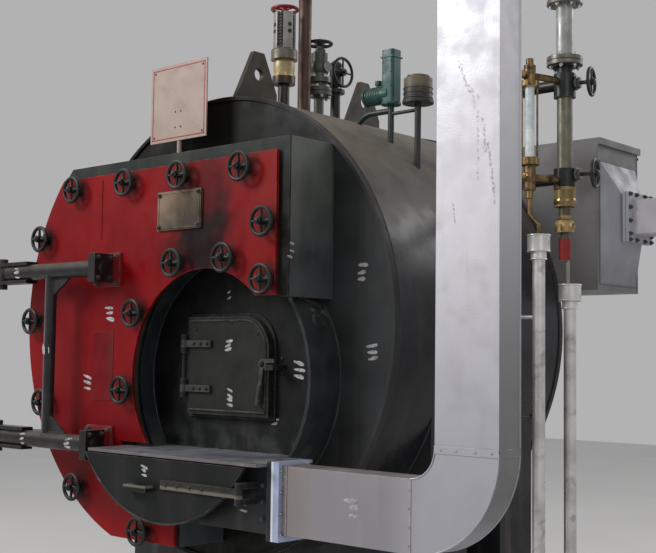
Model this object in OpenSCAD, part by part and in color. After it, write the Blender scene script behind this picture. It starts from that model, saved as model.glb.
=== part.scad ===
// Horizontal fire-tube boiler, fired by hand, with a swinging smokebox door and an air duct
// Millimetres; X to the right seen from the front, Y towards the rear, Z up
// The origin is on the floor under the middle of the front saddle

/* [Shell] */
// Outer radius of the shell
shell_r = 995; // [985:1:1005]
// Thickness of the shell plate
shell_wall = 16; // [8:1:24]
// Length of the shell and its front tube plate
shell_length = 1200; // [1150:10:1500]
// Height of the shell's centre line above the floor
axis_h = 1500; // [1400:10:1700]
// Thickness of the tube plates
plate_t = 20; // [14:1:26]
// How far the tube plates stand out past the shell
plate_lip = 5; // [3:1:8]
// Width of the raised rim on the front tube plate
ring_w = 16; // [12:1:24]
// Thickness of the raised rim
ring_t = 10; // [6:1:14]

/* [Furnace] */
// Outer radius of the furnace tube
furnace_r = 511; // [500:1:515]
// Wall of the furnace tube
furnace_wall = 14; // [10:1:18]
// Sideways place of the furnace centre
furnace_x = 212; // [205:1:220]
// Furnace centre below the shell's centre line
furnace_drop = 216; // [210:1:225]
// How far the furnace rim stands out of the tube plate
furnace_rim = 175; // [165:1:185]
// How far the furnace front plate is set back from the rim
front_plate_setback = 70; // [60:1:80]
// Thickness of the furnace front plate
front_plate_t = 14; // [10:1:18]
// Height of the ash shelf below the shell's centre line
shelf_drop = 517; // [510:1:525]
// Thickness of the ash shelf
shelf_t = 12; // [8:1:14]
// Number of grate bars
grate_bars = 9; // [5:1:11]
// Length of a grate bar
grate_l = 900; // [700:10:1000]

/* [Fire door] */
// Width of the fire door
fire_w = 482; // [460:1:500]
// Height of the fire door
fire_h = 406; // [380:1:420]
// Radius of the fire door's upper free corner
fire_corner_r = 140; // [60:1:160]
// Thickness of the fire door
fire_t = 22; // [14:1:26]
// How far the door's frame shows round it
fire_margin = 12; // [8:1:16]
// How far the door laps over the firing hole
fire_lap = 40; // [30:1:50]
// Length of the door's hinge straps
fire_strap_l = 165; // [120:1:220]
// Free gap between a closed door and its frame
door_gap = 5; // [5:1:7]
// Radius of the fire door's hinge pin
fire_pin_r = 9; // [7:0.5:11]
// Running clearance of a pin in its bore
pin_clear = 0.08; // [0.05:0.01:0.1]

/* [Smokebox] */
// Depth of the front smokebox
smokebox_depth = 244; // [235:1:255]
// How far the smokebox's round side lies inside the shell's radius
smokebox_inset = 5; // [2:1:12]
// Top of the smokebox above the shell's centre line
smokebox_top = 722; // [710:1:730]
// Right side of the smokebox from the shell's centre line
smokebox_right = 671; // [660:1:685]
// Bottom of the smokebox's right part above the shell's centre line
wing_low = 100; // [95:1:125]
// Right side of the smokebox's lower part from the shell's centre line
leg_right = 72; // [65:1:80]
// Bottom of the smokebox below the shell's centre line
leg_low = 915; // [900:1:930]
// Plate of the smokebox walls
smokebox_wall = 8; // [5:1:12]
// Thickness of the dark frame round the door
frame_t = 8; // [6:1:12]
// Width of the dark frame round the door
frame_w = 95; // [80:1:110]
// Thickness of the red door
door_t = 14; // [10:1:18]
// Dark frame left showing above and beside the door
frame_show = 52; // [40:1:60]
// Radius of the door's cut-out round the furnace
door_cut_r = 440; // [430:1:450]
// Width of the door's pale cover plate
cover_w = 270; // [240:1:290]
// Height of the door's pale cover plate
cover_h = 164; // [140:1:180]
// Radius of a clamp handwheel
wheel_r = 62; // [50:1:66]
// Radius of a clamp handwheel's rim bar
wheel_rim = 8; // [5:1:10]
// Distance of a clamp handwheel from the door
wheel_stand = 45; // [40:1:60]

/* [Door arms] */
// Radius of the two arms that carry the door
arm_r = 36; // [30:1:40]
// Distance of the arms' centre lines in front of the tube plate
arm_y = 380; // [370:1:390]
// Height of the upper arm above the shell's centre line
arm_up = 240; // [235:1:250]
// Depth of the lower arm below the shell's centre line
arm_down = 515; // [505:1:525]
// Place of the door's hinge line to the left of the shell's centre line
hinge_x = 1075; // [1070:1:1090]
// Radius of the door's hinge pins
hinge_pin_r = 16; // [12:1:18]
// Length of the fork plates that hold an arm's hinge pin
fork_l = 240; // [200:5:280]
// Thickness of a fork plate
fork_t = 16; // [10:1:20]
// Radius of the upright tube between the arms
brace_r = 40; // [34:1:44]
// Side of the square boss at an arm's end
boss_side = 124; // [110:2:130]

/* [Ash pit] */
// How far the ash pit stands out of the tube plate
ash_depth = 463; // [455:1:470]
// Plate of the ash pit
ash_wall = 8; // [5:1:10]
// Radius of the half-round ash door
ash_door_r = 570; // [560:1:575]
// Thickness of the ash door
ash_door_t = 12; // [8:1:14]
// Radius of the ash door's hinge pin
ash_pin_r = 8; // [6:0.5:9]
// Height of the ash door's strap
ash_strap_h = 34; // [28:1:40]

/* [Air duct] */
// Height of the duct's section
duct_h = 245; // [235:1:255]
// Depth of the duct's section
duct_d = 120; // [110:1:125]
// Sheet of the duct
duct_wall = 3; // [2:0.5:4]
// Front face of the duct in front of the tube plate
duct_y = 400; // [395:1:405]
// Top of the duct's upright above the shell's centre line
duct_top = 1150; // [1100:10:1300]
// Inside radius of the duct's bend
bend_r = 100; // [90:1:110]
// Centre line of the duct's upright from the shell's centre line
riser_x = 1597; // [1590:1:1620]
// Rim of a duct flange
duct_rim = 28; // [20:1:30]

/* [Top fittings] */
// Width of the bare sign plate
sign_w = 370; // [340:1:380]
// Height of the bare sign plate
sign_h = 345; // [320:1:360]
// Thickness of a lifting lug
lug_t = 25; // [20:1:30]
// Height of a lifting lug above the shell
lug_h = 258; // [240:1:270]
// Radius of a lifting lug's hole
lug_hole_r = 28; // [20:1:32]
// Distance of a lifting lug's hole from the shell's end
lug_in = 225; // [215:1:260]
// Radius of the steam outlet's pipe
steam_r = 31; // [28:1:38]
// Wall of the steam outlet's pipe
steam_wall = 5; // [4:1:7]
// Height of the steam outlet above the shell
steam_h = 625; // [560:5:700]
// Radius of the valve stems
stem_r = 8; // [6:0.5:9]
// Radius of the stop valve's handwheel
stop_wheel_r = 66; // [60:1:70]
// Radius of the feed valve's handwheel
feed_wheel_r = 76; // [66:1:78]

/* [Level fittings] */
// Side of the level controller's housing
level_w = 65; // [55:1:75]
// Radius of the control motor beside it
motor_r = 62; // [50:1:66]
// Place of the water column to the right of the shell's centre line
column_x = 1313; // [1280:1:1330]
// Radius of the water column's tube
column_r = 32; // [26:1:36]
// Radius of the water column's two valve bodies
cock_r = 45; // [40:1:48]
// Radius of the gauge glass
glass_r = 19; // [14:1:22]
// Radius of a drain standpipe
standpipe_r = 25; // [20:1:28]
// Radius of a standpipe's cup
cup_r = 45; // [38:1:50]

/* [Rear] */
// Depth of the rear smokebox
rear_depth = 380; // [350:5:400]
// Top of the rear smokebox's walls above the shell's centre line
rear_top = 845; // [820:1:860]
// Bottom of the rear smokebox above the shell's centre line
rear_bottom = 186; // [170:1:200]
// Right side of the rear smokebox from the shell's centre line
rear_right = 1177; // [1150:1:1190]
// Thickness of the rear smokebox's roof plate
roof_t = 30; // [20:1:36]
// Length of the tapering hood on the rear smokebox's side
hood_l = 85; // [70:1:100]
// Height of the flue duct
flue_h = 155; // [140:1:170]
// Depth of the flue duct
flue_d = 160; // [140:1:170]
// Length of the flue duct
flue_l = 230; // [180:5:300]
// Sheet of the hood and the flue duct
flue_wall = 4; // [3:0.5:6]

/* [Saddles] */
// Length of a saddle along the shell
saddle_l = 250; // [230:1:280]
// Half of a saddle's width
saddle_half = 920; // [900:1:930]
// Plate of the saddles
saddle_t = 18; // [14:1:24]
// Height of a saddle's side edge below the shell's centre line
saddle_drop = 340; // [330:1:360]
// Distance from the tube plate to the middle of the front saddle
saddle_front = 455; // [440:1:470]
// Distance between the middles of the two saddles
saddle_pitch = 500; // [480:10:560]

/* [Hidden] */
$fn = 96;

seat = 0.3;
over = 5;
shell_fn = 160;
plate_y = -saddle_front;
plate_r = shell_r + plate_lip;

// Smokebox and its door
smokebox_r = shell_r - smokebox_inset;
arc_x = -20;
arc_z = 20;
frame_y = -smokebox_depth - frame_t;
door_y = frame_y - door_gap - door_t;
cover_x = -72;
cover_z = smokebox_top - 331;

// Clamp handwheels: heights and places of the straight rows, and [angle, distance in] on the two arcs
TOP_WHEELS = [-640, -266, 86, 452];
SIDE_WHEELS = [388, 165];
FURNACE_WHEELS = [[72, 58], [108, 50], [147, 42], [188, 34]];
ARC_WHEELS = [[156, 50], [180, 75], [204.5, 91], [233, 66], [263.5, 99]];
top_wheel_in = 108;
side_wheel_in = 88;

// Fire door and its latch
front_plate_y = -furnace_rim + front_plate_setback;
fire_x = furnace_x - 229;
fire_top = 248 - furnace_drop;
fire_frame_t = 10;
fire_frame_y = front_plate_y - fire_frame_t;
fire_y = fire_frame_y - door_gap - fire_t;
fire_strap_t = 12;
fire_strap_h = 28;
fire_barrel_r = fire_pin_r + 7;
fire_pin_x = fire_x - fire_pin_r - 5;
fire_pin_y = fire_y - fire_strap_t + 4;
fire_strap_z = [fire_top - 112, fire_top - 300];
latch_x = fire_x + fire_w - 21;
latch_z = fire_top - 192;
latch_t = 11;
latch_y = fire_y - door_gap - 1 - latch_t;

// Arms
barrel_r = hinge_pin_r + 14;
knuckle_half = arm_r - 3;
upper_arm_end = -300;
lower_arm_end = -330;
brace_x = -681;

// Ash pit and its door
ash_strap_z = -shelf_drop - 112;
ash_lug_h = 22;
ash_barrel_r = ash_pin_r + 7;
ash_lug_top = ash_strap_z + ash_strap_h / 2 + 1 + ash_lug_h;
ash_edge_x = furnace_x + sqrt(pow(ash_door_r, 2) - pow(ash_lug_top + furnace_drop, 2));
ash_pin_x = ash_edge_x + ash_barrel_r + 10;
ash_pin_y = -ash_depth - ash_door_t - 2 * ash_pin_r;

// Air duct
bend_x = riser_x - duct_h / 2 - bend_r;
bend_z = -shelf_drop - shelf_t / 2 + bend_r;
flange_x = 740;
flange_t = 30;

// Fittings on and beside the shell
safety_y = 400;
steam_y = 540;
stop_y = 645;
stop_wheel_z = shell_r + 389;
feed_y = 765;
feed_z = shell_r + 265;
feed_wheel_x = 48;
level_x = 567;
level_y = 495;
motor_x = 715;
column_y = 700;
steam_leg_z = 1000;
water_leg_z = 610;
gauge_x = column_x - 55;
gauge_y = 520;
front_cup_x = column_x - 13;
front_cup_top = 363;
rear_cup_x = column_x + 22;
rear_cup_top = 175;

// Half of the shell's width at the given height, or its height at the given side distance
function shell_at(d) = sqrt(pow(shell_r, 2) - pow(d, 2));

// Places things from the shell's centre line at the front of the tube plate
module at_plate() {
  translate([0, plate_y, axis_h]) children();
}

// Extrudes an outline seen from the front from y_front towards the rear
module slab_y(y_front, t) {
  translate([0, y_front + t, 0]) rotate([90, 0, 0]) linear_extrude(t) children();
}

// Pipe or rod along X
module rod_x(x, y, z, r, length) {
  translate([x, y, z]) rotate([0, 90, 0]) cylinder(r = r, h = length);
}

// Block given by its low corner and its size
module block(low, size) {
  translate(low) cube(size);
}

module furnace_disc(r) {
  translate([furnace_x, -furnace_drop]) circle(r = r);
}

// Square solid that reaches past everything, for cutting outlines
function beyond() = 2 * smokebox_r;

// Outline of the C-shaped smokebox, drawn in by the given amounts
module smokebox_outline(arc_in, edge_in, cut_r, low_cut_r) {
  far = beyond();
  step_z = -shelf_drop + 17;
  difference() {
    translate([arc_x, arc_z]) circle(r = smokebox_r - arc_in, $fn = shell_fn);
    translate([-far, smokebox_top - edge_in]) square([2 * far, far]);
    translate([smokebox_right - edge_in, -far]) square([far, 2 * far]);
    translate([leg_right - arc_in, -far]) square([far, far + wing_low + arc_in]);
    translate([-far, -far - leg_low + arc_in]) square([2 * far, far]);
    furnace_disc(cut_r);
    intersection() {
      furnace_disc(low_cut_r);
      translate([-far, step_z - far]) square([2 * far, far]);
    }
  }
}

module smokebox_wall_outline(inset) {
  cut_r = furnace_r + 14 + inset;
  smokebox_outline(inset, inset, cut_r, cut_r);
}

// Spoked handwheel in the XY plane with its middle at the origin
module handwheel(r, rim_r, spokes) {
  rotate_extrude($fn = 40) translate([r - rim_r, 0]) circle(r = rim_r, $fn = 16);
  cylinder(r = r * 0.24, h = rim_r * 3, center = true, $fn = 24);
  for (i = [0 : spokes - 1]) {
    rotate([0, 90, i * 360 / spokes]) cylinder(r = rim_r * 0.62, h = r - rim_r, $fn = 16);
  }
}

module shell() {
  color("#2f3138")
  at_plate() slab_y(plate_t, shell_length - plate_t) {
    difference() {
      circle(r = shell_r, $fn = 160);
      circle(r = shell_r - shell_wall, $fn = 160);
    }
  }
}

module front_tube_plate() {
  color("#3a3c42")
  at_plate() slab_y(0, plate_t) {
    difference() {
      circle(r = plate_r, $fn = 160);
      furnace_disc(furnace_r + seat);
    }
  }
}

module front_flange_ring() {
  color("#33353c")
  at_plate() slab_y(-ring_t, ring_t) {
    difference() {
      circle(r = plate_r, $fn = 160);
      circle(r = plate_r - ring_w, $fn = 160);
      smokebox_outline(-seat, -seat, 1, 1);
    }
  }
}

module rear_end_plate() {
  color("#3a3c42")
  at_plate() slab_y(shell_length, plate_t) circle(r = plate_r, $fn = 160);
}

// Beaded ends of the fire tubes inside the smokebox
module tube_ends() {
  pitch = 112;
  bead_r = 42;
  bore_r = 32;
  margin = 60;
  reach = smokebox_r - smokebox_wall - bead_r - margin;
  near = furnace_r + bead_r + margin;
  count = floor(reach / pitch);
  color("#5a5650")
  at_plate() {
    for (i = [-count : count], j = [-count : count]) {
      x = i * pitch - arc_x;
      z = j * pitch + arc_z;
      if (norm([x - arc_x, z - arc_z]) < reach
          && norm([x - furnace_x, z + furnace_drop]) > near
          && z < smokebox_top - bead_r - 40 && x < smokebox_right - bead_r - 30
          && (x < leg_right - bead_r - 40 || z > wing_low + bead_r + 40)) {
        slab_y(-10, 10) translate([x, z]) difference() {
          circle(r = bead_r, $fn = 24);
          circle(r = bore_r, $fn = 24);
        }
      }
    }
  }
}

module furnace_tube() {
  color("#2b2c30")
  at_plate() slab_y(-furnace_rim, furnace_rim + shell_length) difference() {
    furnace_disc(furnace_r);
    furnace_disc(furnace_r - furnace_wall);
  }
}

module furnace_front_plate() {
  color("#303238")
  at_plate() slab_y(front_plate_y, front_plate_t) difference() {
    furnace_disc(furnace_r - furnace_wall - seat);
    firing_hole();
    translate([furnace_x - furnace_r, -shelf_drop - shelf_t - furnace_r]) {
      square([2 * furnace_r, furnace_r + shelf_t]);
    }
  }
}

// Grate bars inside the furnace, carried by two cross bars
module grate() {
  bar_w = 40;
  bar_h = 20;
  beam_h = 30;
  beam_w = 40;
  bar_y = front_plate_y + front_plate_t + seat;
  beam_low = shelf_drop + beam_h - furnace_drop;
  beam_half = sqrt(pow(furnace_r - furnace_wall, 2) - pow(beam_low, 2)) - seat;
  span = 2 * (beam_half - bar_w);
  pitch = span / (grate_bars - 1);
  color("#3b3735")
  at_plate() {
    for (i = [0 : grate_bars - 1]) {
      block([furnace_x - span / 2 + i * pitch - bar_w / 2, bar_y, -shelf_drop], [bar_w, grate_l, bar_h]);
    }
    for (y = [bar_y + beam_w, bar_y + grate_l - 2 * beam_w]) {
      block([furnace_x - beam_half, y, -shelf_drop - beam_h], [2 * beam_half, beam_w, beam_h]);
    }
  }
}

// Outline of the fire door with its rounded free corner
module fire_outline(grow) {
  r = fire_corner_r;
  translate([fire_x - grow, fire_top - fire_h - grow]) difference() {
    square([fire_w + 2 * grow, fire_h + 2 * grow]);
    translate([fire_w + 2 * grow - r, fire_h + 2 * grow - r]) difference() {
      square([r + over, r + over]);
      circle(r = r);
    }
  }
}

module firing_hole() {
  lap = fire_lap;
  translate([fire_x + lap, fire_top - fire_h + lap]) square([fire_w - 2 * lap, fire_h - 2 * lap - 30]);
}

// Frame, hinge lugs with their pin, and the catch of the latch
module fire_door_frame() {
  lug_h = 24;
  gap = 1;
  reach = fire_strap_h / 2 + gap + lug_h;
  post_low = latch_z - 24;
  post_t = 21;
  color("#2a2b2f")
  at_plate() {
    slab_y(fire_frame_y, fire_frame_t) difference() {
      fire_outline(fire_margin);
      firing_hole();
    }
    for (z = fire_strap_z, s = [-1, 1]) {
      translate([fire_pin_x, fire_pin_y, z + s * (fire_strap_h / 2 + gap + lug_h / 2)]) {
        cylinder(r = fire_barrel_r, h = lug_h, center = true);
        translate([-8, 0, -lug_h / 2]) cube([16, front_plate_y - fire_pin_y, lug_h]);
      }
    }
    translate([fire_pin_x, fire_pin_y, fire_strap_z[1] - reach]) {
      cylinder(r = fire_pin_r, h = fire_strap_z[0] - fire_strap_z[1] + 2 * reach);
    }
    block([latch_x + 46, latch_y - 14, post_low], [30, front_plate_y - latch_y + 14, post_t]);
    block([latch_x + 38, latch_y - 24, post_low], [46, 14, post_t]);
  }
}

module fire_door() {
  color("#26272b")
  at_plate() slab_y(fire_y, fire_t) difference() {
    fire_outline(0);
    translate([latch_x, latch_z]) circle(r = stem_r + pin_clear);
  }
}

// Two hinge straps across the door, each with a barrel for the pin
module fire_door_straps() {
  color("#303136")
  at_plate() {
    for (z = fire_strap_z) {
      difference() {
        union() {
          block([fire_pin_x, fire_y - fire_strap_t, z - fire_strap_h / 2],
                [fire_strap_l, fire_strap_t, fire_strap_h]);
          translate([fire_pin_x, fire_pin_y, z]) {
            cylinder(r = fire_barrel_r, h = fire_strap_h, center = true);
          }
        }
        translate([fire_pin_x, fire_pin_y, z]) {
          cylinder(r = fire_pin_r + pin_clear, h = fire_strap_h + 2, center = true);
        }
      }
    }
  }
}

// Latch: pivot pin, tongue over the catch, and a hanging handle
module fire_latch() {
  knob_r = 20;
  handle_w = 18;
  handle_l = 165;
  handle_tilt = 8;
  grip_r = 10;
  color("#2d2e33")
  at_plate() {
    slab_y(fire_y - 1, fire_t + 1) translate([latch_x, latch_z]) circle(r = stem_r);
    slab_y(latch_y, fire_y - 1 - latch_y) translate([latch_x, latch_z]) circle(r = knob_r);
    block([latch_x, latch_y, latch_z + 4], [66, latch_t, 16]);
    translate([latch_x, latch_y, latch_z]) rotate([0, handle_tilt, 0]) {
      block([-handle_w / 2, 0, -handle_l + 60], [handle_w, latch_t, handle_l - 60]);
      translate([0, latch_t - grip_r, -handle_l]) cylinder(r = grip_r, h = 80);
    }
  }
}

module smokebox() {
  color("#2c2e35")
  at_plate() slab_y(-smokebox_depth, smokebox_depth) difference() {
    smokebox_wall_outline(0);
    smokebox_wall_outline(smokebox_wall);
  }
}

module smokebox_frame() {
  color("#25272d")
  at_plate() slab_y(frame_y, frame_t) difference() {
    smokebox_wall_outline(0);
    smokebox_outline(frame_w, frame_w, furnace_r + 110, furnace_r + 150);
  }
}

module smokebox_door() {
  color("#8c2026")
  at_plate() slab_y(door_y, door_t) {
    smokebox_outline(door_gap, frame_show, door_cut_r, ash_door_r + 15);
  }
}

module inspection_cover() {
  cover_t = 10;
  color("#b9a98f")
  at_plate() block([cover_x, door_y - cover_t, cover_z], [cover_w, cover_t, cover_h]);
}

// Clamp screw with its spoked handwheel, at the given place on the door
module door_clamp(x, z) {
  screw_r = 10;
  nut_r = 20;
  nut_h = 12;
  translate([x, door_y - wheel_stand, z]) {
    slab_y(0, wheel_stand) circle(r = screw_r, $fn = 24);
    slab_y(wheel_stand - nut_h, nut_h) circle(r = nut_r, $fn = 24);
    rotate([90, 0, 0]) handwheel(wheel_r, wheel_rim, 4);
  }
}

// Clamps all round the door, in rows along its straight sides and arcs
module door_handwheels() {
  color("#1b1b1d")
  at_plate() {
    for (x = TOP_WHEELS) door_clamp(x, smokebox_top - top_wheel_in);
    for (z = SIDE_WHEELS) door_clamp(smokebox_right - side_wheel_in, z);
    for (w = FURNACE_WHEELS) {
      r = door_cut_r + w[1];
      door_clamp(furnace_x + r * cos(w[0]), -furnace_drop + r * sin(w[0]));
    }
    for (w = ARC_WHEELS) {
      r = smokebox_r - w[1];
      door_clamp(arc_x + r * cos(w[0]), arc_z + r * sin(w[0]));
    }
  }
}

// Arm with a fork for the hinge pin at its left end and a square boss at its right end
module hinge_arm(z, end_x) {
  boss_depth = 100;
  boss_l = 120;
  tube_x = -hinge_x + barrel_r + 25;
  translate([0, -arm_y, z]) difference() {
    union() {
      rod_x(tube_x, 0, 0, arm_r, end_x - boss_l - tube_x);
      block([end_x - boss_l, -boss_depth / 2, -boss_side / 2], [boss_l, boss_depth, boss_side]);
      for (low = [arm_r - 2, -arm_r + 2 - fork_t]) {
        translate([-hinge_x, 0, low]) {
          cylinder(r = barrel_r, h = fork_t);
          block([0, -barrel_r, 0], [fork_l, 2 * barrel_r, fork_t]);
        }
      }
    }
    translate([-hinge_x, 0, 0]) cylinder(r = hinge_pin_r + pin_clear, h = 4 * arm_r, center = true);
  }
}

module hinge_arm_upper() {
  color("#26262a")
  at_plate() hinge_arm(arm_up, upper_arm_end);
}

module hinge_arm_lower() {
  color("#26262a")
  at_plate() hinge_arm(-arm_down, lower_arm_end);
}

// Triangular plate between the brace and an arm; side is 1 below the arm and -1 above it
module gusset(z, side) {
  reach = 110;
  drop = 60;
  edge = z - side * (arm_r + seat);
  slab_y(-arm_y - 6, 12) polygon([
    [brace_x + brace_r - 4, edge], [brace_x + brace_r + reach, edge],
    [brace_x + brace_r - 4, edge - side * drop]
  ]);
}

// Upright tube between the arms
module hinge_brace() {
  color("#2a2a2e")
  at_plate() {
    difference() {
      translate([brace_x, -arm_y, -arm_down]) cylinder(r = brace_r, h = arm_up + arm_down);
      for (z = [arm_up, -arm_down]) {
        rod_x(brace_x - 2 * brace_r, -arm_y, z, arm_r + seat, 4 * brace_r);
      }
    }
    gusset(arm_up, 1);
    gusset(-arm_down, -1);
  }
}

// Blocks between the arms' bosses and the pads that bolt to the door
module door_bracket(end_x, z) {
  block_l = 76;
  pad_t = 12;
  back_y = -arm_y + 50;
  block([end_x - 20 - block_l, back_y, z - boss_side / 2 + 8], [block_l, door_y - back_y, boss_side - 16]);
  block([end_x - 190, door_y - pad_t, z - 74], [174, pad_t, 148]);
}

module door_brackets() {
  color("#9c3a36")
  at_plate() {
    door_bracket(upper_arm_end, arm_up);
    door_bracket(lower_arm_end, -arm_down);
  }
}

// Knuckle with the hinge pin between an arm's fork plates, on a plate from the smokebox wall
module hinge_bracket(z) {
  plate_half = 20;
  head_r = 24;
  head_h = 20;
  fork_top = arm_r - 2 + fork_t;
  wall_x = arc_x - sqrt(pow(smokebox_r, 2) - pow(abs(z - arc_z) - plate_half, 2)) + 15;
  translate([0, 0, z]) {
    translate([-hinge_x, -arm_y, 0]) {
      cylinder(r = barrel_r, h = 2 * knuckle_half, center = true);
      cylinder(r = hinge_pin_r, h = 2 * (fork_top + 2), center = true);
      for (s = [-1, 1]) {
        translate([0, 0, s * (fork_top + 1 + head_h / 2)]) cylinder(r = head_r, h = head_h, center = true);
      }
    }
    translate([0, 0, -plate_half]) linear_extrude(2 * plate_half) polygon([
      [-hinge_x - barrel_r, -arm_y], [-hinge_x + 8, -arm_y], [-hinge_x + 8, -arm_y + 70],
      [wall_x, -170], [wall_x, -30], [-hinge_x - barrel_r, -170]
    ]);
  }
}

module hinge_brackets() {
  color("#2a2a2e")
  at_plate() difference() {
    union() {
      hinge_bracket(arm_up);
      hinge_bracket(-arm_down);
    }
    slab_y(-smokebox_depth - frame_t - over, smokebox_depth + frame_t + over) {
      translate([arc_x, arc_z]) circle(r = smokebox_r + seat, $fn = shell_fn);
    }
  }
}

module ash_shelf() {
  low = -shelf_drop - shelf_t;
  chord = sqrt(pow(furnace_r - furnace_wall, 2) - pow(low + furnace_drop, 2)) - 3;
  front = -ash_depth - ash_door_t;
  shelf_left = -250;
  shelf_inner = -195;
  step_y = frame_y - 10;
  rim_y = -furnace_rim - 1;
  color("#8b8d93")
  at_plate() {
    block([shelf_left, front, low], [flange_x - shelf_left, step_y - front, shelf_t]);
    block([shelf_inner, step_y, low], [flange_x - shelf_inner, rim_y - step_y, shelf_t]);
    block([furnace_x - chord, rim_y, low], [2 * chord, front_plate_setback + 1, shelf_t]);
  }
}

// Half-round trough with a side box that takes the air duct, and the ash door's hinge lugs
module ash_pit() {
  low = -shelf_drop - shelf_t;
  far = 2 * furnace_r;
  box_x = 360;
  box_low = low - duct_h;
  trough_y = -ash_depth;
  trough_l = ash_depth - furnace_rim - 1;
  lug_mid = ash_strap_h / 2 + 1 + ash_lug_h / 2;
  color("#3d3f45")
  at_plate() {
    difference() {
      union() {
        intersection() {
          slab_y(trough_y, trough_l) furnace_disc(furnace_r);
          block([-far, -far, low - far], [2 * far, 2 * far, far]);
        }
        block([box_x, -duct_y, box_low], [flange_x - box_x, duct_d, duct_h]);
      }
      slab_y(trough_y - 1, trough_l + 2) furnace_disc(furnace_r - ash_wall);
      block([box_x + ash_wall, -duct_y + ash_wall, box_low + ash_wall],
            [flange_x, duct_d - 2 * ash_wall, duct_h - 2 * ash_wall]);
    }
    for (s = [-1, 1]) {
      translate([ash_pin_x, ash_pin_y, ash_strap_z + s * lug_mid]) {
        cylinder(r = ash_barrel_r, h = ash_lug_h, center = true);
        translate([-10, 0, -ash_lug_h / 2]) cube([20, -duct_y - ash_pin_y, ash_lug_h]);
      }
    }
    translate([ash_pin_x, ash_pin_y, ash_strap_z]) {
      cylinder(r = ash_pin_r, h = 2 * lug_mid + ash_lug_h, center = true);
    }
  }
}

// Half-round door with its strap, hinge barrel and handle
module ash_door() {
  top = -shelf_drop - shelf_t - door_gap;
  front = -ash_depth - ash_door_t - door_gap;
  far = 2 * ash_door_r;
  strap_x = furnace_x + 20;
  handle_x = [45, 166];
  handle_z = ash_strap_z - 34;
  handle_out = 42;
  bar_t = 14;
  color("#3a3c42")
  at_plate() {
    difference() {
      union() {
        intersection() {
          slab_y(front, ash_door_t) furnace_disc(ash_door_r);
          block([-far, -far, top - far], [2 * far, 2 * far, far]);
        }
        block([strap_x, front - 11, ash_strap_z - ash_strap_h / 2], [ash_pin_x - strap_x, 12, ash_strap_h]);
        translate([ash_pin_x, ash_pin_y, ash_strap_z]) {
          cylinder(r = ash_barrel_r, h = ash_strap_h, center = true);
        }
      }
      translate([ash_pin_x, ash_pin_y, ash_strap_z]) {
        cylinder(r = ash_pin_r + pin_clear, h = ash_strap_h + 2, center = true);
      }
    }
    for (x = handle_x) block([x, front - handle_out, handle_z], [bar_t, handle_out, 24]);
    block([handle_x[0], front - handle_out, handle_z], [handle_x[1] - handle_x[0] + bar_t, bar_t, 24]);
  }
}

// Hollow rectangular frame seen along X
module duct_ring_x(x, length, low_y, size_y, low_z, size_z, wall) {
  difference() {
    block([x, low_y, low_z], [length, size_y, size_z]);
    block([x - 1, low_y + wall, low_z + wall], [length + 2, size_y - 2 * wall, size_z - 2 * wall]);
  }
}

module duct_flange() {
  low = -shelf_drop - shelf_t - duct_h;
  rim = duct_rim;
  color("#b9b8b5")
  at_plate() {
    for (i = [0, 1]) {
      duct_ring_x(flange_x + i * flange_t, flange_t, -duct_y - rim + 8, duct_d + 2 * rim - 16,
                  low - rim + 8, duct_h + 2 * rim - 16, rim - 8 + duct_wall);
    }
  }
}

module duct_transition() {
  x = flange_x + 2 * flange_t;
  low = bend_z - bend_r - duct_h;
  color("#c9c8cc")
  at_plate() duct_ring_x(x, bend_x - x, -duct_y, duct_d, low, duct_h, duct_wall);
}

module duct_elbow() {
  color("#c6c5c9")
  at_plate() translate([bend_x, -duct_y + duct_d, bend_z]) rotate([90, 0, 0]) {
    rotate_extrude(angle = 90, start = -90) difference() {
      translate([bend_r, 0]) square([duct_h, duct_d]);
      translate([bend_r + duct_wall, duct_wall]) square([duct_h - 2 * duct_wall, duct_d - 2 * duct_wall]);
    }
  }
}

// Upright of the duct with a flange at its top
module duct_riser() {
  x = riser_x - duct_h / 2;
  rim = duct_rim;
  color("#cac9cd")
  at_plate() difference() {
    union() {
      block([x, -duct_y, bend_z], [duct_h, duct_d, duct_top - bend_z]);
      block([x - rim, -duct_y - rim, duct_top - 6], [duct_h + 2 * rim, duct_d + 2 * rim, 6]);
    }
    block([x + duct_wall, -duct_y + duct_wall, bend_z - 1],
          [duct_h - 2 * duct_wall, duct_d - 2 * duct_wall, duct_top - bend_z + 2]);
  }
}

// Cuts what stands on the shell to its curved surface, between two places along the shell
module seated(from_y, to_y) {
  difference() {
    children();
    slab_y(from_y, to_y - from_y) circle(r = shell_r + seat, $fn = shell_fn);
  }
}

// Straight round bar between two points
module bar(a, b, r) {
  d = b - a;
  translate(a) rotate([0, acos(d[2] / norm(d)), atan2(d[1], d[0])]) cylinder(r = r, h = norm(d));
}

// Turned body at x, y, given by the [foot, top, radius] of its steps
module turned(x, y, steps) {
  for (s = steps) translate([x, y, s[0]]) cylinder(r = s[2], h = s[1] - s[0]);
}

// The same on the shell's top, with heights above the shell
module top_turned(y, steps) {
  seated(y - 2 * cock_r, y + 2 * cock_r) translate([0, 0, shell_r]) turned(0, y, steps);
}

// Lug plate along the shell, with its hole across
module lifting_lug(y) {
  base_front = 140;
  base_rear = 118;
  apex_half = 32;
  shoulder = 30;
  low = shell_r - 40;
  seated(y - 2 * base_front, y + 2 * base_front) difference() {
    translate([-lug_t / 2, y, 0]) rotate([90, 0, 90]) linear_extrude(lug_t) polygon([
      [-base_front, low], [base_rear, low], [base_rear, shell_r + 80],
      [apex_half, shell_r + lug_h], [-apex_half, shell_r + lug_h], [-base_front, shell_r + shoulder]
    ]);
    rod_x(-lug_t, y, shell_r + lug_h - 103, lug_hole_r, 2 * lug_t);
  }
}

module lifting_lugs() {
  color("#2d2f36")
  at_plate() {
    lifting_lug(lug_in);
    lifting_lug(shell_length - lug_in);
  }
}

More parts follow.
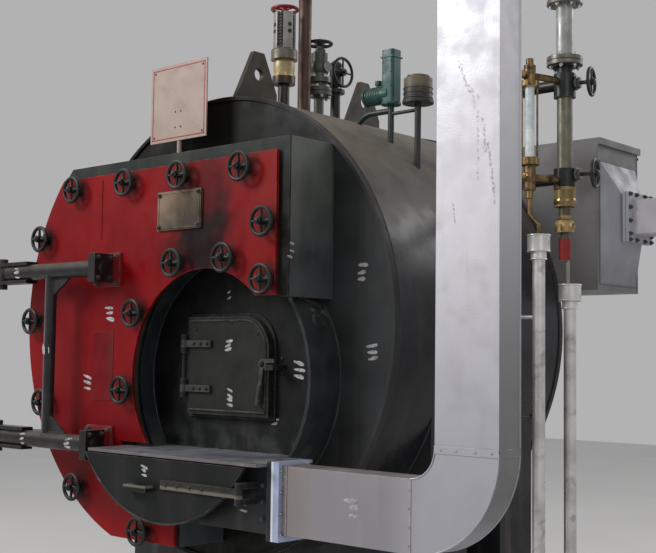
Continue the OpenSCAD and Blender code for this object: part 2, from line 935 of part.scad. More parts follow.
// Plate on a rod that stands on the smokebox
module sign_plate() {
  x = -160;
  y = -93;
  rod_r = 10;
  sign_t = 6;
  foot = 80;
  foot_t = 8;
  base = smokebox_top + 96;
  color("#d8d6cf")
  at_plate() {
    block([x - sign_w / 2, y - rod_r - 1, base], [sign_w, sign_t, sign_h]);
    translate([x, y, smokebox_top + foot_t]) cylinder(r = rod_r, h = base + 160 - smokebox_top - foot_t);
    block([x - foot / 2, y - foot / 2, smokebox_top], [foot, foot, foot_t]);
  }
}

// Spring-loaded valve with its flanges, bonnet and lifting wheel
module safety_valve() {
  color("#b08a4a")
  at_plate() {
    top_turned(safety_y, [
      [-60, 141, 27], [141, 177, 53], [177, 257, 44], [257, 300, 62], [300, 478, 41], [478, 502, 14]
    ]);
    translate([0, safety_y, shell_r + 500]) handwheel(67, 8, 3);
  }
}

// Open pipe with a drilled flange at its top
module steam_outlet() {
  top = shell_r + steam_h;
  flange_r = 80;
  bolt_circle_r = 62;
  bolt_hole_r = 7;
  color("#8a5a40")
  at_plate() difference() {
    top_turned(steam_y, [
      [-60, steam_h, steam_r], [-20, 24, steam_r + 30], [steam_h - 18, steam_h, flange_r]
    ]);
    translate([0, steam_y, shell_r + 40]) cylinder(r = steam_r - steam_wall, h = steam_h);
    for (a = [45 : 90 : 315]) {
      translate([bolt_circle_r * cos(a), steam_y + bolt_circle_r * sin(a), top - 20]) {
        cylinder(r = bolt_hole_r, h = 24);
      }
    }
  }
}

// Globe valve between its flanges
module stop_valve() {
  color("#35363b")
  at_plate() {
    top_turned(stop_y, [
      [-60, 131, 24], [131, 149, 64], [149, 152, 58], [152, 170, 64], [170, 194, 38], [194, 218, 60],
      [218, 340, 40], [340, 368, 16], [368, 412, stem_r]
    ]);
    translate([0, stop_y, shell_r + 270]) sphere(r = 50);
  }
}

module stop_valve_wheel() {
  color("#222327")
  at_plate() translate([0, stop_y, stop_wheel_z]) difference() {
    handwheel(stop_wheel_r, 8, 4);
    cylinder(r = stem_r + pin_clear, h = 60, center = true);
  }
}

// Angle valve with its stem across the shell
module feed_valve() {
  color("#35363b")
  at_plate() {
    top_turned(feed_y, [[-60, 195, 24], [165, 183, 46], [195, 315, 30]]);
    rod_x(0, feed_y, feed_z, 14, 32);
    rod_x(30, feed_y, feed_z, stem_r, feed_wheel_x - 8);
  }
}

module feed_valve_wheel() {
  color("#222327")
  at_plate() translate([feed_wheel_x, feed_y, feed_z]) rotate([0, 90, 0]) difference() {
    handwheel(feed_wheel_r, 7, 4);
    cylinder(r = stem_r + pin_clear, h = 60, center = true);
  }
}

// Square of side w with rounded corners, round the origin
module rounded_square(w, r) {
  square([w, w - 2 * r], center = true);
  square([w - 2 * r, w], center = true);
  for (x = [-1, 1], y = [-1, 1]) translate([x, y] * (w / 2 - r)) circle(r = r, $fn = 32);
}

// Float controller with its side cylinder, the control motor beside it and the pipe that joins them
module level_controller() {
  stub_r = 14;
  low = 979;
  high = 1223;
  cylinder_z = 1030;
  cylinder_l = 95;
  cylinder_r = 38;
  pipe_z = 955;
  pipe_bend_r = 100;
  pipe_bend_x = 460;
  left = level_x - level_w / 2;
  color("#3c8f8c")
  at_plate() seated(level_y - 2 * motor_r, level_y + 2 * motor_r) {
    turned(level_x, level_y, [[shell_at(level_x) - 40, low, stub_r], [low, low + 10, 44]]);
    translate([level_x, level_y, low]) linear_extrude(high - low) rounded_square(level_w, 12);
    rod_x(left - cylinder_l, level_y, cylinder_z, cylinder_r, cylinder_l + level_w / 2);
    rod_x(left - cylinder_l - 8, level_y, cylinder_z, cylinder_r + 6, 8);
    turned(495, level_y, [[cylinder_z, 1078, 10], [1078, 1096, 16]]);
    turned(motor_x, level_y, [
      [shell_at(motor_x) - 40, 965, stub_r], [965, 977, motor_r + 6], [977, 1073, motor_r], [1073, 1085, 50]
    ]);
    rod_x(level_x, level_y, 940, 8, motor_x - level_x);
    rod_x(pipe_bend_x, level_y, pipe_z, stub_r - 1, level_x - pipe_bend_x);
    translate([pipe_bend_x, level_y, pipe_z - pipe_bend_r]) rotate([-90, 0, 0]) {
      rotate_extrude(angle = 90, start = 180) translate([pipe_bend_r, 0]) circle(r = stub_r - 1, $fn = 32);
    }
  }
}

// Water column with its two cocks, the pipes that join it to the shell and its drain
module water_column() {
  high_cock_z = 1000;
  low_cock_z = 624;
  leg_r = 24;
  steam_leg_x = 720;
  wheel_turn = 14;
  drain_x = column_x + 13;
  color("#5b5c60")
  at_plate() {
    turned(column_x, column_y, [
      [275, 361, 25], [361, 387, 18], [387, 435, 36], [435, 492, 25], [492, 577, cock_r - 3],
      [571, 648, cock_r], [648, 942, column_r], [942, 1041, cock_r], [1041, 1075, column_r],
      [1075, 1091, 73], [1091, 1094, 66], [1094, 1110, 73], [1110, 1330, column_r + 3], [1330, 1346, 73]
    ]);
    turned(drain_x, column_y, [[rear_cup_top - 25, 280, 8]]);
    for (w = [[high_cock_z, 110], [low_cock_z, 125]]) {
      translate([column_x, column_y, w[0]]) rotate([0, 90, wheel_turn]) {
        cylinder(r = stem_r, h = w[1] + 12);
        cylinder(r = 20, h = cock_r + 18);
        translate([0, 0, w[1]]) handwheel(62, 7, 4);
      }
    }
    seated(column_y - 2 * leg_r, column_y + 2 * leg_r) {
      rod_x(steam_leg_x, column_y, steam_leg_z, leg_r, column_x - steam_leg_x);
      translate([steam_leg_x, column_y, steam_leg_z]) sphere(r = leg_r);
      translate([steam_leg_x, column_y, shell_at(steam_leg_x) - 40]) {
        cylinder(r = leg_r, h = steam_leg_z - shell_at(steam_leg_x) + 40);
      }
      rod_x(shell_at(water_leg_z) - 40, column_y, water_leg_z, leg_r,
            column_x - shell_at(water_leg_z) + 40);
    }
  }
}

// Gauge glass between two cocks, with its guard rods and the drain into the front cup
module gauge_glass() {
  cock_z = [600, 1010];
  glass_low = 675;
  glass_high = 964;
  rod_out = 22;
  drain_low = 340;
  bend_high = 450;
  bend_low = 405;
  drain_r = 8;
  elbow = [gauge_x, gauge_y, bend_high];
  over_cup = [front_cup_x, gauge_y, bend_low];
  color("#b9d3d6")
  at_plate() {
    turned(gauge_x, gauge_y, [
      [bend_high, 512, drain_r], [512, 545, 15], [545, 645, 24], [645, glass_low, 38],
      [glass_low, glass_high, glass_r], [glass_high, 986, 38], [986, 1050, 24], [1050, 1078, 15]
    ]);
    for (s = [-1, 1]) {
      turned(gauge_x + s * rod_out, gauge_y + s * rod_out, [[glass_low, glass_high, 4]]);
    }
    difference() {
      for (z = cock_z) bar([gauge_x, gauge_y, z], [column_x, column_y, z], 14);
      turned(column_x, column_y, [[500, 1100, cock_r + seat]]);
    }
    translate(elbow) sphere(r = drain_r, $fn = 32);
    bar(elbow, over_cup, drain_r);
    translate(over_cup) sphere(r = drain_r, $fn = 32);
    turned(front_cup_x, gauge_y, [[drain_low, bend_low, drain_r]]);
  }
}

// Standpipe with a cup on its top and a foot flange on the floor
module standpipe(x, y, top) {
  cup_h = 65;
  cup_wall = 4;
  neck_h = 32;
  difference() {
    turned(x, y, [
      [-axis_h, top, standpipe_r], [top - cup_h - neck_h, top - cup_h, standpipe_r + 6],
      [top - cup_h, top, cup_r], [-axis_h, -axis_h + 8, 60]
    ]);
    turned(x, y, [[top - cup_h + 8, top + 1, cup_r - cup_wall]]);
  }
}

// Two drains with the stays that hold them to the shell, the saddle and each other
module drain_standpipes() {
  stay_r = 8;
  shell_stay_z = 38;
  floor_stay_z = -1100;
  saddle_face = saddle_half + seat;
  color("#cfcdc8")
  at_plate() {
    standpipe(front_cup_x, gauge_y, front_cup_top);
    standpipe(rear_cup_x, column_y, rear_cup_top);
    seated(gauge_y - 2 * stay_r, gauge_y + 2 * stay_r) {
      rod_x(shell_r - 20, gauge_y, shell_stay_z, stay_r, front_cup_x - shell_r + 20);
    }
    rod_x(saddle_face, gauge_y, floor_stay_z, stay_r, front_cup_x - saddle_face);
    bar([front_cup_x, gauge_y, floor_stay_z], [rear_cup_x, column_y, floor_stay_z], stay_r);
  }
}

// Box behind the rear tube plate with its roof plate, open to the tubes and to the hood on its right
module rear_smokebox() {
  y = shell_length + plate_t;
  left = -smokebox_right;
  wall = smokebox_wall;
  brim = 14;
  w = rear_right - left;
  h = rear_top - rear_bottom;
  color("#9a999c")
  at_plate() difference() {
    union() {
      block([left, y, rear_bottom], [w, rear_depth, h]);
      block([left - brim, y, rear_top], [w + 2 * brim, rear_depth + brim, roof_t]);
    }
    block([left + wall, y + wall, rear_bottom + wall], [w - 2 * wall, rear_depth - 2 * wall, h - wall]);
    slab_y(y - 1, wall + 2) intersection() {
      circle(r = shell_r - shell_wall, $fn = shell_fn);
      translate([left + wall, rear_bottom + wall]) square([w - 2 * wall, h - wall]);
    }
    block([rear_right - wall - 1, hood_mid_y() - hood_d() / 2 + wall, hood_low() + wall],
          [wall + 2, hood_d() - 2 * wall, hood_h() - 2 * wall]);
  }
}

function hood_d() = rear_depth - 40;
function hood_mid_y() = shell_length + plate_t + rear_depth / 2;
function hood_low() = rear_bottom + 31;
function hood_h() = rear_top - rear_bottom - 104;
function flue_z() = hood_low() + hood_h() * 0.54;

// Solid between a rectangle at the hood's foot and the flue's at its end, drawn in by wall
module hood_form(x, l, wall) {
  foot = [1, hood_d() - 2 * wall, hood_h() - 2 * wall];
  end = [1, flue_d - 2 * wall, flue_h - 2 * wall];
  hull() {
    translate([x, hood_mid_y() - foot[1] / 2, hood_low() + wall]) cube(foot);
    translate([x + l - 1, hood_mid_y() - end[1] / 2, flue_z() - end[2] / 2]) cube(end);
  }
}

// Tapering hood from the rear smokebox's side, and the flue duct with its drilled square flange
module outlet_cone() {
  rim = 35;
  rim_t = 10;
  bolt_at = 95;
  bolt_hole_r = 7;
  duct_x = rear_right + hood_l;
  end_x = duct_x + 28 + flue_l;
  low_y = hood_mid_y() - flue_d / 2;
  low_z = flue_z() - flue_h / 2;
  side = 2 * bolt_at + 40;
  color("#a3a2a6")
  at_plate() difference() {
    union() {
      hood_form(rear_right, hood_l, 0);
      block([duct_x, low_y, low_z], [end_x - duct_x, flue_d, flue_h]);
      for (x = [duct_x, duct_x + 15]) {
        block([x, low_y - rim, low_z - rim], [13, flue_d + 2 * rim, flue_h + 2 * rim]);
      }
      block([end_x - rim_t, hood_mid_y() - side / 2, flue_z() - side / 2], [rim_t, side, side]);
    }
    hood_form(rear_right - 1, hood_l + 2, flue_wall);
    block([duct_x - 1, low_y + flue_wall, low_z + flue_wall],
          [end_x - duct_x + 2, flue_d - 2 * flue_wall, flue_h - 2 * flue_wall]);
    for (dy = [-bolt_at, bolt_at], dz = [-bolt_at, bolt_at]) {
      rod_x(end_x - rim_t - 1, hood_mid_y() + dy, flue_z() + dz, bolt_hole_r, rim_t + 2);
    }
  }
}

// Saddle of two webs, side plates, a middle rib and a base plate
module saddle(y) {
  half_l = saddle_l / 2;
  t = saddle_t;
  low = -axis_h;
  high = -saddle_drop;
  difference() {
    union() {
      block([-saddle_half, y - half_l, low], [2 * saddle_half, saddle_l, t]);
      for (x = [-saddle_half, -t / 2, saddle_half - t]) {
        block([x, y - half_l, low], [t, saddle_l, high - low]);
      }
      for (dy = [-half_l, half_l - t]) {
        block([-saddle_half, y + dy, low], [2 * saddle_half, t, high - low]);
      }
    }
    slab_y(y - saddle_l, 2 * saddle_l) circle(r = shell_r + seat, $fn = 160);
  }
}

module saddles() {
  color("#34363c")
  at_plate() {
    saddle(saddle_front);
    saddle(saddle_front + saddle_pitch);
  }
}

shell();
front_tube_plate();
front_flange_ring();
rear_end_plate();
tube_ends();
furnace_tube();
furnace_front_plate();
grate();
fire_door_frame();
fire_door();
fire_door_straps();
fire_latch();
smokebox();
smokebox_frame();
smokebox_door();
inspection_cover();
door_handwheels();
hinge_arm_upper();
hinge_arm_lower();
hinge_brace();
door_brackets();
hinge_brackets();
ash_shelf();
ash_pit();
ash_door();
duct_flange();
duct_transition();
duct_elbow();
duct_riser();
lifting_lugs();
sign_plate();
safety_valve();
steam_outlet();
stop_valve();
stop_valve_wheel();
feed_valve();
feed_valve_wheel();
level_controller();
water_column();
gauge_glass();
drain_standpipes();
rear_smokebox();
outlet_cone();
saddles();
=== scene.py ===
"""Looks of the horizontal fire-tube boiler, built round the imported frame.

Places are in millimetres from the shell's centre line at the front of the tube plate:
x to the right seen from the front, y towards the rear, z up. A look's own places are in metres.
"""
import math
import random
from itertools import product

import bmesh
import bpy
from mathutils import Matrix, Vector


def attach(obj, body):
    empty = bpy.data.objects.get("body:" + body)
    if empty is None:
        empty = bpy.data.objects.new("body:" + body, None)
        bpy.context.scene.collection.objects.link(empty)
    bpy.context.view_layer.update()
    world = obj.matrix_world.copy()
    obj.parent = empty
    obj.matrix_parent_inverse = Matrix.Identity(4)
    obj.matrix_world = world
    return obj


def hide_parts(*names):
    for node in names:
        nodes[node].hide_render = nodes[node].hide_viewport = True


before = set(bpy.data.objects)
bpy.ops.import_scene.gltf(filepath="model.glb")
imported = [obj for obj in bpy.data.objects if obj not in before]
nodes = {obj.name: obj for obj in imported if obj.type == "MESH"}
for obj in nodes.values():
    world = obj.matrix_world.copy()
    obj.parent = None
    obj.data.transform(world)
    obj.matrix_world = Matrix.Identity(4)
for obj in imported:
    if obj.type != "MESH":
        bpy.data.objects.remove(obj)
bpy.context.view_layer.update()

# Shell's centre line at the front of the tube plate, in metres
PLATE_Y = -0.455
AXIS_Z = 1.5
MM = 0.001
X, Y, Z = Vector((1, 0, 0)), Vector((0, 1, 0)), Vector((0, 0, 1))

# Camera fitted to the photograph's viewing angle, in metres from that same place
CAMERA_AT = (3.702, -3.425, -0.131)
CAMERA_YAW = 0.728
CAMERA_PITCH = 0.070
CAMERA_ROLL = 0.013
FOCAL_PX = 1154.0
IMAGE_W_PX = 656
SENSOR_MM = 36.0
FLOOR_HALF = 14.0

# Sizes that the details share with the solids
SHELL_R = 995
SHELL_END = 1200
RING_END = 23
LUG_SPANS = ((85, 343), (835, 1093))
SADDLE_EDGES = (330, 580, 830, 1080)
SADDLE_FOOT = -1482
FURNACE_X = 212
FURNACE_Z = -216
FURNACE_R = 511
FURNACE_BORE = 497
FURNACE_PLATE_Y = -105
FIRE_DOOR_Y = -142
FIRE_STRAP_Y = -154
SMOKEBOX_X = -20
SMOKEBOX_Z = 20
SMOKEBOX_R = 990
SMOKEBOX_TOP = 722
SMOKEBOX_RIGHT = 671
DOOR_Y = -271
DOOR_CUT_R = 440
WHEEL_Y = -316
COVER_X = -72
COVER_Z = 391
PATCH_LOW = (-505, -330)
PATCH_HIGH = (-362, -31)
ARM_Y = -380
ARM_R = 36
ARM_Z = (240, -515)
ARM_END = (-300, -330)
BRACE_X = -681
BRACE_R = 26
HINGE_X = -1075
PIN_EYE_R = 30
PIN_R = 16.1
ARM_ROOT = HINGE_X + PIN_EYE_R + 25
FORK_L = 240
FORK_T = 16
FLANGE_L = 46
FLANGE_SIDE = 124
ASH_DOOR_Y = -480
ASH_STRAP_Y = -491
ASH_STRAP_Z = -629
DUCT_Y = -400
DUCT_D = 120
DUCT_H = 245
DUCT_X = 800
RISER_LEFT = 1474.5
BEND_X = 1374.5
BEND_Z = -423
DUCT_LOW = -768
DUCT_TOP = 1150
SIGN_X = -345
SIGN_Z = 818
SIGN_W = 370
SIGN_H = 345
SIGN_Y = -104
SIGN_ROD = (-160, -93)
SAFETY_Y = 400
STEAM_Y = 540
STOP_Y = 645
FEED_Y = 765
BOX_X = 567
BOX_SIDE = 65
LEVEL_Y = 495
MOTOR_X = 715
COLUMN = (1313, 700)
GAUGE = (1258, 520)
STANDPIPES = ((1300, 520, 363), (1335, 700, 175))
PIPE_FOOT = -1492
THIRD_TURN = 2.094
REAR_BACK = 1600
REAR_FRONT = 1221
REAR_SIDES = (-671, 1177)
REAR_HEIGHTS = (186, 845)
HOOD_X = 1178
HOOD_LOW = (217, 1240)
HOOD_HIGH = (772, 1580)
FLUE_X = 1290


def at(x, y, z):
    """Row-frame point, in metres, of a place given in millimetres."""
    return Vector((x * MM, y * MM + PLATE_Y, z * MM + AXIS_Z))


def srgb(red, green, blue):
    """Linear colour of a colour given from 0 to 255."""
    return tuple(((c / 255 + 0.055) / 1.055) ** 2.4 if c > 10 else c / 3294.6 for c in (red, green, blue))


def shade(colour, factor):
    return tuple(min(1.0, c * factor) for c in colour)


def clamp_places():
    """Middles of the clamp handwheels, by the rules of the solids."""
    places = [(x, SMOKEBOX_TOP - 108) for x in (-640, -266, 86, 452)]
    places += [(SMOKEBOX_RIGHT - 88, z) for z in (388, 165)]
    rounds = [(FURNACE_X, FURNACE_Z, DOOR_CUT_R + out, turn)
              for turn, out in ((72, 58), (108, 50), (147, 42), (188, 34))]
    rounds += [(SMOKEBOX_X, SMOKEBOX_Z, SMOKEBOX_R - inward, turn)
               for turn, inward in ((156, 50), (180, 75), (204.5, 91), (233, 66), (263.5, 99))]
    for x, z, radius, turn in rounds:
        places.append((x + radius * math.cos(math.radians(turn)), z + radius * math.sin(math.radians(turn))))
    return places


# Camera, light and floor

def make_camera():
    yaw, pitch, roll = CAMERA_YAW, CAMERA_PITCH, CAMERA_ROLL
    ahead = Vector((-math.sin(yaw) * math.cos(pitch), math.cos(yaw) * math.cos(pitch), math.sin(pitch)))
    side = Vector((math.cos(yaw), math.sin(yaw), 0.0))
    up = side.cross(ahead)
    right = side * math.cos(roll) + up * math.sin(roll)
    top = up * math.cos(roll) - side * math.sin(roll)
    data = bpy.data.cameras.new("camera")
    data.sensor_width = SENSOR_MM
    data.lens = SENSOR_MM * FOCAL_PX / IMAGE_W_PX
    camera = bpy.data.objects.new("camera", data)
    bpy.context.scene.collection.objects.link(camera)
    turn = Matrix((right, top, -ahead)).transposed().to_4x4()
    camera.matrix_world = Matrix.Translation(at(*(v / MM for v in CAMERA_AT))) @ turn
    bpy.context.scene.camera = camera


def area_lamp(name, place, target, size, power):
    data = bpy.data.lights.new(name, "AREA")
    data.shape = "DISK"
    data.size = size
    data.energy = power
    lamp = bpy.data.objects.new(name, data)
    bpy.context.scene.collection.objects.link(lamp)
    lamp.location = place
    lamp.rotation_euler = (Vector(target) - Vector(place)).to_track_quat("-Z", "Y").to_euler()


def make_world():
    world = bpy.data.worlds.new("studio")
    bpy.context.scene.world = world
    world.use_nodes = True
    background = world.node_tree.nodes["Background"]
    background.inputs["Color"].default_value = (0.89, 0.89, 0.90, 1.0)
    background.inputs["Strength"].default_value = 0.50


def make_floor():
    corners = [(x * FLOOR_HALF, y * FLOOR_HALF, 0) for x, y in ((-1, -1), (1, -1), (1, 1), (-1, 1))]
    mesh = bpy.data.meshes.new("floor")
    mesh.from_pydata(corners, [], [(0, 1, 2, 3)])
    floor = bpy.data.objects.new("floor", mesh)
    bpy.context.scene.collection.objects.link(floor)
    skin = Surface("floor", 0.85)
    skin.base((0.66, 0.65, 0.64), 0.02, 1.0)
    mesh.materials.append(skin.finish(30.0, skin.rough))


# Procedural materials

DUST = srgb(128, 118, 106)
RUST = srgb(92, 52, 34)
BARE = srgb(120, 120, 118)
PALE_BRASS = srgb(170, 152, 112)
VALVE_BLACK = srgb(40, 44, 42)
STREAKED = (1.0, 1.0, 0.07)

# Soot on the smokebox door: [x, z, reach along x, reach along z, depth], and the radius of the painted shadow
# round each clamp handwheel
SOOT_SPOTS = ((205, 320, 230, 300, 0.95), (80, 300, 180, 130, 0.7), (230, 470, 170, 420, 0.55))
WHEEL_SHADOW_R = 92

# Scuffs on the duct's upright: [start, end, width], each end as [x, z]
SCUFFS = (((1560, 830), (1628, 676), 9), ((1636, 662), (1638, 440), 6), ((1655, 644), (1668, 520), 8),
          ((1676, 560), (1704, 352), 7), ((1590, 760), (1640, 700), 6), ((1540, 380), (1552, 300), 5))


class Surface:
    """One procedural material that gathers its tone in layers."""

    def __init__(self, name, rough, metallic=0.0, specular=0.5):
        self.material = bpy.data.materials.new(name)
        self.material.use_nodes = True
        self.tree = self.material.node_tree
        self.shader = self.tree.nodes["Principled BSDF"]
        self.rough = rough
        for socket, value in (("Roughness", rough), ("Metallic", metallic), ("Specular IOR Level", specular)):
            self.shader.inputs[socket].default_value = value
        world_place = self.node("ShaderNodeTexCoord").outputs["Object"]
        self.place = self.vector("SUBTRACT", world_place, (0.0, PLATE_Y, AXIS_Z))
        axes = self.node("ShaderNodeSeparateXYZ")
        self.feed(axes.inputs[0], self.place)
        self.x, self.y, self.z = axes.outputs[:3]
        self.ragged = self.noise(9.0, 6.0)

    def node(self, kind, **settings):
        made = self.tree.nodes.new(kind)
        for key, value in settings.items():
            setattr(made, key, value)
        return made

    def feed(self, socket, value):
        """Gives a socket a number, a vector or a colour, or links another node's output to it."""
        if isinstance(value, bpy.types.NodeSocket):
            self.tree.links.new(value, socket)
        elif isinstance(value, tuple) and socket.type == "RGBA":
            socket.default_value = (*value, 1.0)
        else:
            socket.default_value = value

    def math(self, operation, a, b=0.0):
        made = self.node("ShaderNodeMath", operation=operation)
        self.feed(made.inputs[0], a)
        self.feed(made.inputs[1], b)
        return made.outputs[0]

    def vector(self, operation, a, b=(0.0, 0.0, 0.0), output=0):
        made = self.node("ShaderNodeVectorMath", operation=operation)
        self.feed(made.inputs[0], a)
        self.feed(made.inputs[1], b)
        return made.outputs[output]

    def ramp(self, value, low, high, at_low=0.0, at_high=1.0):
        made = self.node("ShaderNodeMapRange", interpolation_type="SMOOTHSTEP")
        for key, number in (("Value", value), ("From Min", low), ("From Max", high),
                            ("To Min", at_low), ("To Max", at_high)):
            self.feed(made.inputs[key], number)
        return made.outputs["Result"]

    def noise(self, scale, detail=5.0, stretch=None, warp=0.0):
        made = self.node("ShaderNodeTexNoise")
        place = self.vector("MULTIPLY", self.place, stretch) if stretch else self.place
        for key, number in (("Vector", place), ("Scale", scale), ("Detail", detail), ("Distortion", warp)):
            self.feed(made.inputs[key], number)
        return made.outputs["Fac"]

    def cloud(self, scale, detail, low, high, at_low=0.0, at_high=1.0, **more):
        """Ragged mask: a noise that rises between two of its values."""
        return self.ramp(self.noise(scale, detail, **more), low, high, at_low, at_high)

    def spangle(self, scale):
        """Random grey of a cell."""
        made = self.node("ShaderNodeTexVoronoi")
        self.feed(made.inputs["Vector"], self.place)
        self.feed(made.inputs["Scale"], scale)
        return made.outputs["Color"]

    def mix(self, factor, a, b):
        made = self.node("ShaderNodeMix", data_type="RGBA")
        self.feed(made.inputs[0], factor)
        self.feed(made.inputs[6], a)
        self.feed(made.inputs[7], b)
        return made.outputs[2]

    def both(self, a, b):
        return self.math("MULTIPLY", a, b)

    def between(self, value, low, high, soft=0.004):
        above = self.ramp(value, low - soft, low + soft)
        return self.both(above, self.ramp(value, high - soft, high + soft, 1.0, 0.0))

    def wander(self, value, scale, detail, reach):
        """Value that noise moves up and down."""
        return self.math("ADD", value, self.cloud(scale, detail, 0.2, 0.8, -reach, reach))

    def patches(self, colour, spread, scale):
        """Colour that wanders to a darker and a lighter tone."""
        wander = self.cloud(scale, 7.0, 0.34, 0.66, warp=0.4)
        return self.mix(wander, shade(colour, 1 - spread), shade(colour, 1 + spread))

    def base(self, colour, spread, scale):
        self.tone = self.patches(colour, spread, scale)

    def paint(self, mask, colour, amount=1.0):
        """Lays a colour over the tone where the mask is 1."""
        self.tone = self.mix(mask if amount == 1.0 else self.both(mask, amount), self.tone, colour)

    def stain(self, colour, scale, detail, low, high, amount, **more):
        """Lays a colour in ragged patches, or in streaks when the noise is stretched."""
        self.paint(self.cloud(scale, detail, low, high, 0.0, amount, **more), colour)

    def facing(self, way):
        """How far the surface faces along an axis: 0 for x, 1 for y, 2 for z."""
        axes = self.node("ShaderNodeSeparateXYZ")
        self.feed(axes.inputs[0], self.node("ShaderNodeNewGeometry").outputs["Normal"])
        return axes.outputs[way]

    def upward(self, low=0.25, high=0.95):
        """1 where the surface faces up."""
        return self.ramp(self.facing(2), low, high)

    def rounded(self, width):
        """Normal that is rounded at edges, width in metres."""
        made = self.node("ShaderNodeBevel", samples=4)
        made.inputs["Radius"].default_value = width
        return made.outputs[0]

    def edges(self, width):
        """1 on edges, width in metres."""
        normal = self.node("ShaderNodeNewGeometry").outputs["Normal"]
        same = self.vector("DOT_PRODUCT", self.rounded(width), normal, "Value")
        return self.ramp(same, 0.88, 0.995, 1.0, 0.0)

    def away(self, x, y, z, weights):
        """Distance from a place in millimetres, with a weight for each axis."""
        off = self.vector("SUBTRACT", self.place, (x * MM, y * MM, z * MM))
        return self.vector("LENGTH", self.vector("MULTIPLY", off, weights), output="Value")

    def within(self, x, y, radius):
        """1 near an upright axis and 0 beyond the radius; in millimetres."""
        far = self.away(x, y, 0.0, (1.0, 1.0, 0.0))
        return self.ramp(far, (radius - 0.5) * MM, (radius + 0.5) * MM, 1.0, 0.0)

    def spot(self, x, z, reach_x, reach_z, rag=0.25):
        """1 at a place seen from the front and 0 at its reach, with a ragged outline; in millimetres."""
        far = self.away(x, 0.0, z, (1 / (reach_x * MM), 0.0, 1 / (reach_z * MM)))
        far = self.math("ADD", far, self.ramp(self.ragged, 0.2, 0.8, -rag, rag))
        return self.ramp(far, 0.25, 1.0, 1.0, 0.0)

    def stroke(self, start, end, width):
        """1 along a rubbed line between two [x, z] places seen from the front; in millimetres."""
        dx, dz = end[0] - start[0], end[1] - start[1]
        length = math.hypot(dx, dz)
        off = self.vector("SUBTRACT", self.place, (start[0] * MM, 0.0, start[1] * MM))
        along = self.vector("DOT_PRODUCT", off, (dx / length, 0.0, dz / length), "Value")
        across = self.vector("DOT_PRODUCT", off, (dz / length, 0.0, -dx / length), "Value")
        across = self.math("ABSOLUTE", self.wander(across, 30.0, 3.0, 0.6 * width * MM))
        mark = self.ramp(across, 0.2 * width * MM, width * MM, 1.0, 0.0)
        worn = self.both(mark, self.cloud(90.0, 4.0, 0.42, 0.6))
        return self.both(worn, self.between(along, 0.0, length * MM, 0.01))

    def wear(self, dust=0.3, edge=0.35, edge_tone=BARE, rust=0.0, runs=0.15):
        """Adds faint runs, rust patches, rubbed edges and dust."""
        if runs:
            self.stain(DUST, 14.0, 5.0, 0.52, 0.74, runs, stretch=STREAKED)
        if rust:
            patch = self.cloud(8.0, 9.0, 0.72 - 0.3 * rust, 0.80 - 0.3 * rust, warp=0.8)
            self.paint(patch, self.patches(RUST, 0.35, 60.0))
        if edge:
            self.paint(self.both(self.edges(0.004), self.cloud(22.0, 6.0, 0.38, 0.62, 0.0, edge)), edge_tone)
        if dust:
            settled = self.cloud(16.0, 8.0, 0.25, 0.7, 0.45 * dust, dust)
            self.paint(self.both(self.upward(), settled), DUST)

    def worn(self, spread=0.3):
        """Roughness that wanders."""
        smooth, dull = self.rough * (1 - spread), min(1.0, self.rough * (1 + spread))
        return self.cloud(11.0, 7.0, 0.3, 0.7, smooth, dull)

    def grains(self, fine, fine_detail, coarse, coarse_detail, weight):
        """Fine and coarse relief together."""
        deep = self.both(self.noise(coarse, coarse_detail), weight)
        return self.math("ADD", self.noise(fine, fine_detail), deep)

    def finish(self, grain, gloss=None, depth=0.15, relief=0.0015, soft_edge=0.0):
        """Links tone, roughness and relief to the shader; grain is a noise's scale or a node's output."""
        bump = self.node("ShaderNodeBump")
        height = self.noise(grain) if isinstance(grain, float) else grain
        for key, value in (("Strength", depth), ("Distance", relief), ("Height", height)):
            self.feed(bump.inputs[key], value)
        if soft_edge:
            self.feed(bump.inputs["Normal"], self.rounded(soft_edge))
        self.feed(self.shader.inputs["Base Color"], self.tone)
        self.feed(self.shader.inputs["Roughness"], self.worn() if gloss is None else gloss)
        self.feed(self.shader.inputs["Normal"], bump.outputs[0])
        return self.material


def painted(name, colour, rough=0.42, specular=0.35, spread=0.22, scale=5.0, soft_edge=0.0015, **worn):
    """Old brush paint on steel."""
    skin = Surface(name, rough, specular=specular)
    skin.base(colour, spread, scale)
    skin.wear(**worn)
    return skin.finish(skin.grains(120.0, 3.0, 18.0, 3.0, 2.0), soft_edge=soft_edge)


def shell_look(name, colour):
    """Dark gloss paint, darker on its lower half as painted shade, dulled brown by dust on top, with washed
    runs down its sides.
    """
    skin = Surface(name, 0.26, specular=0.25)
    skin.base(colour, 0.3, 2.2)
    # Painted shade: the paint darkens towards the bottom of the shell
    painted_shade_below = skin.ramp(skin.z, -0.5, 0.55, 0.85, 0.0)
    skin.paint(painted_shade_below, shade(colour, 0.35))
    skin.stain(shade(DUST, 0.6), 10.0, 6.0, 0.5, 0.72, 0.18, stretch=(1.0, 1.0, 0.10))
    low = skin.both(skin.ramp(skin.z, -0.95, -0.55, 1.0, 0.0), skin.cloud(7.0, 8.0, 0.4, 0.6))
    skin.paint(low, shade(DUST, 0.45), 0.35)
    settled = skin.both(skin.upward(0.2, 0.9), skin.cloud(9.0, 8.0, 0.2, 0.65, 0.425, 0.85))
    skin.paint(settled, shade(DUST, 1.35))
    gloss = skin.math("ADD", skin.worn(0.25), skin.both(settled, 0.5))
    return skin.finish(skin.grains(140.0, 3.0, 5.0, 2.0, 5.0), gloss, soft_edge=0.002)


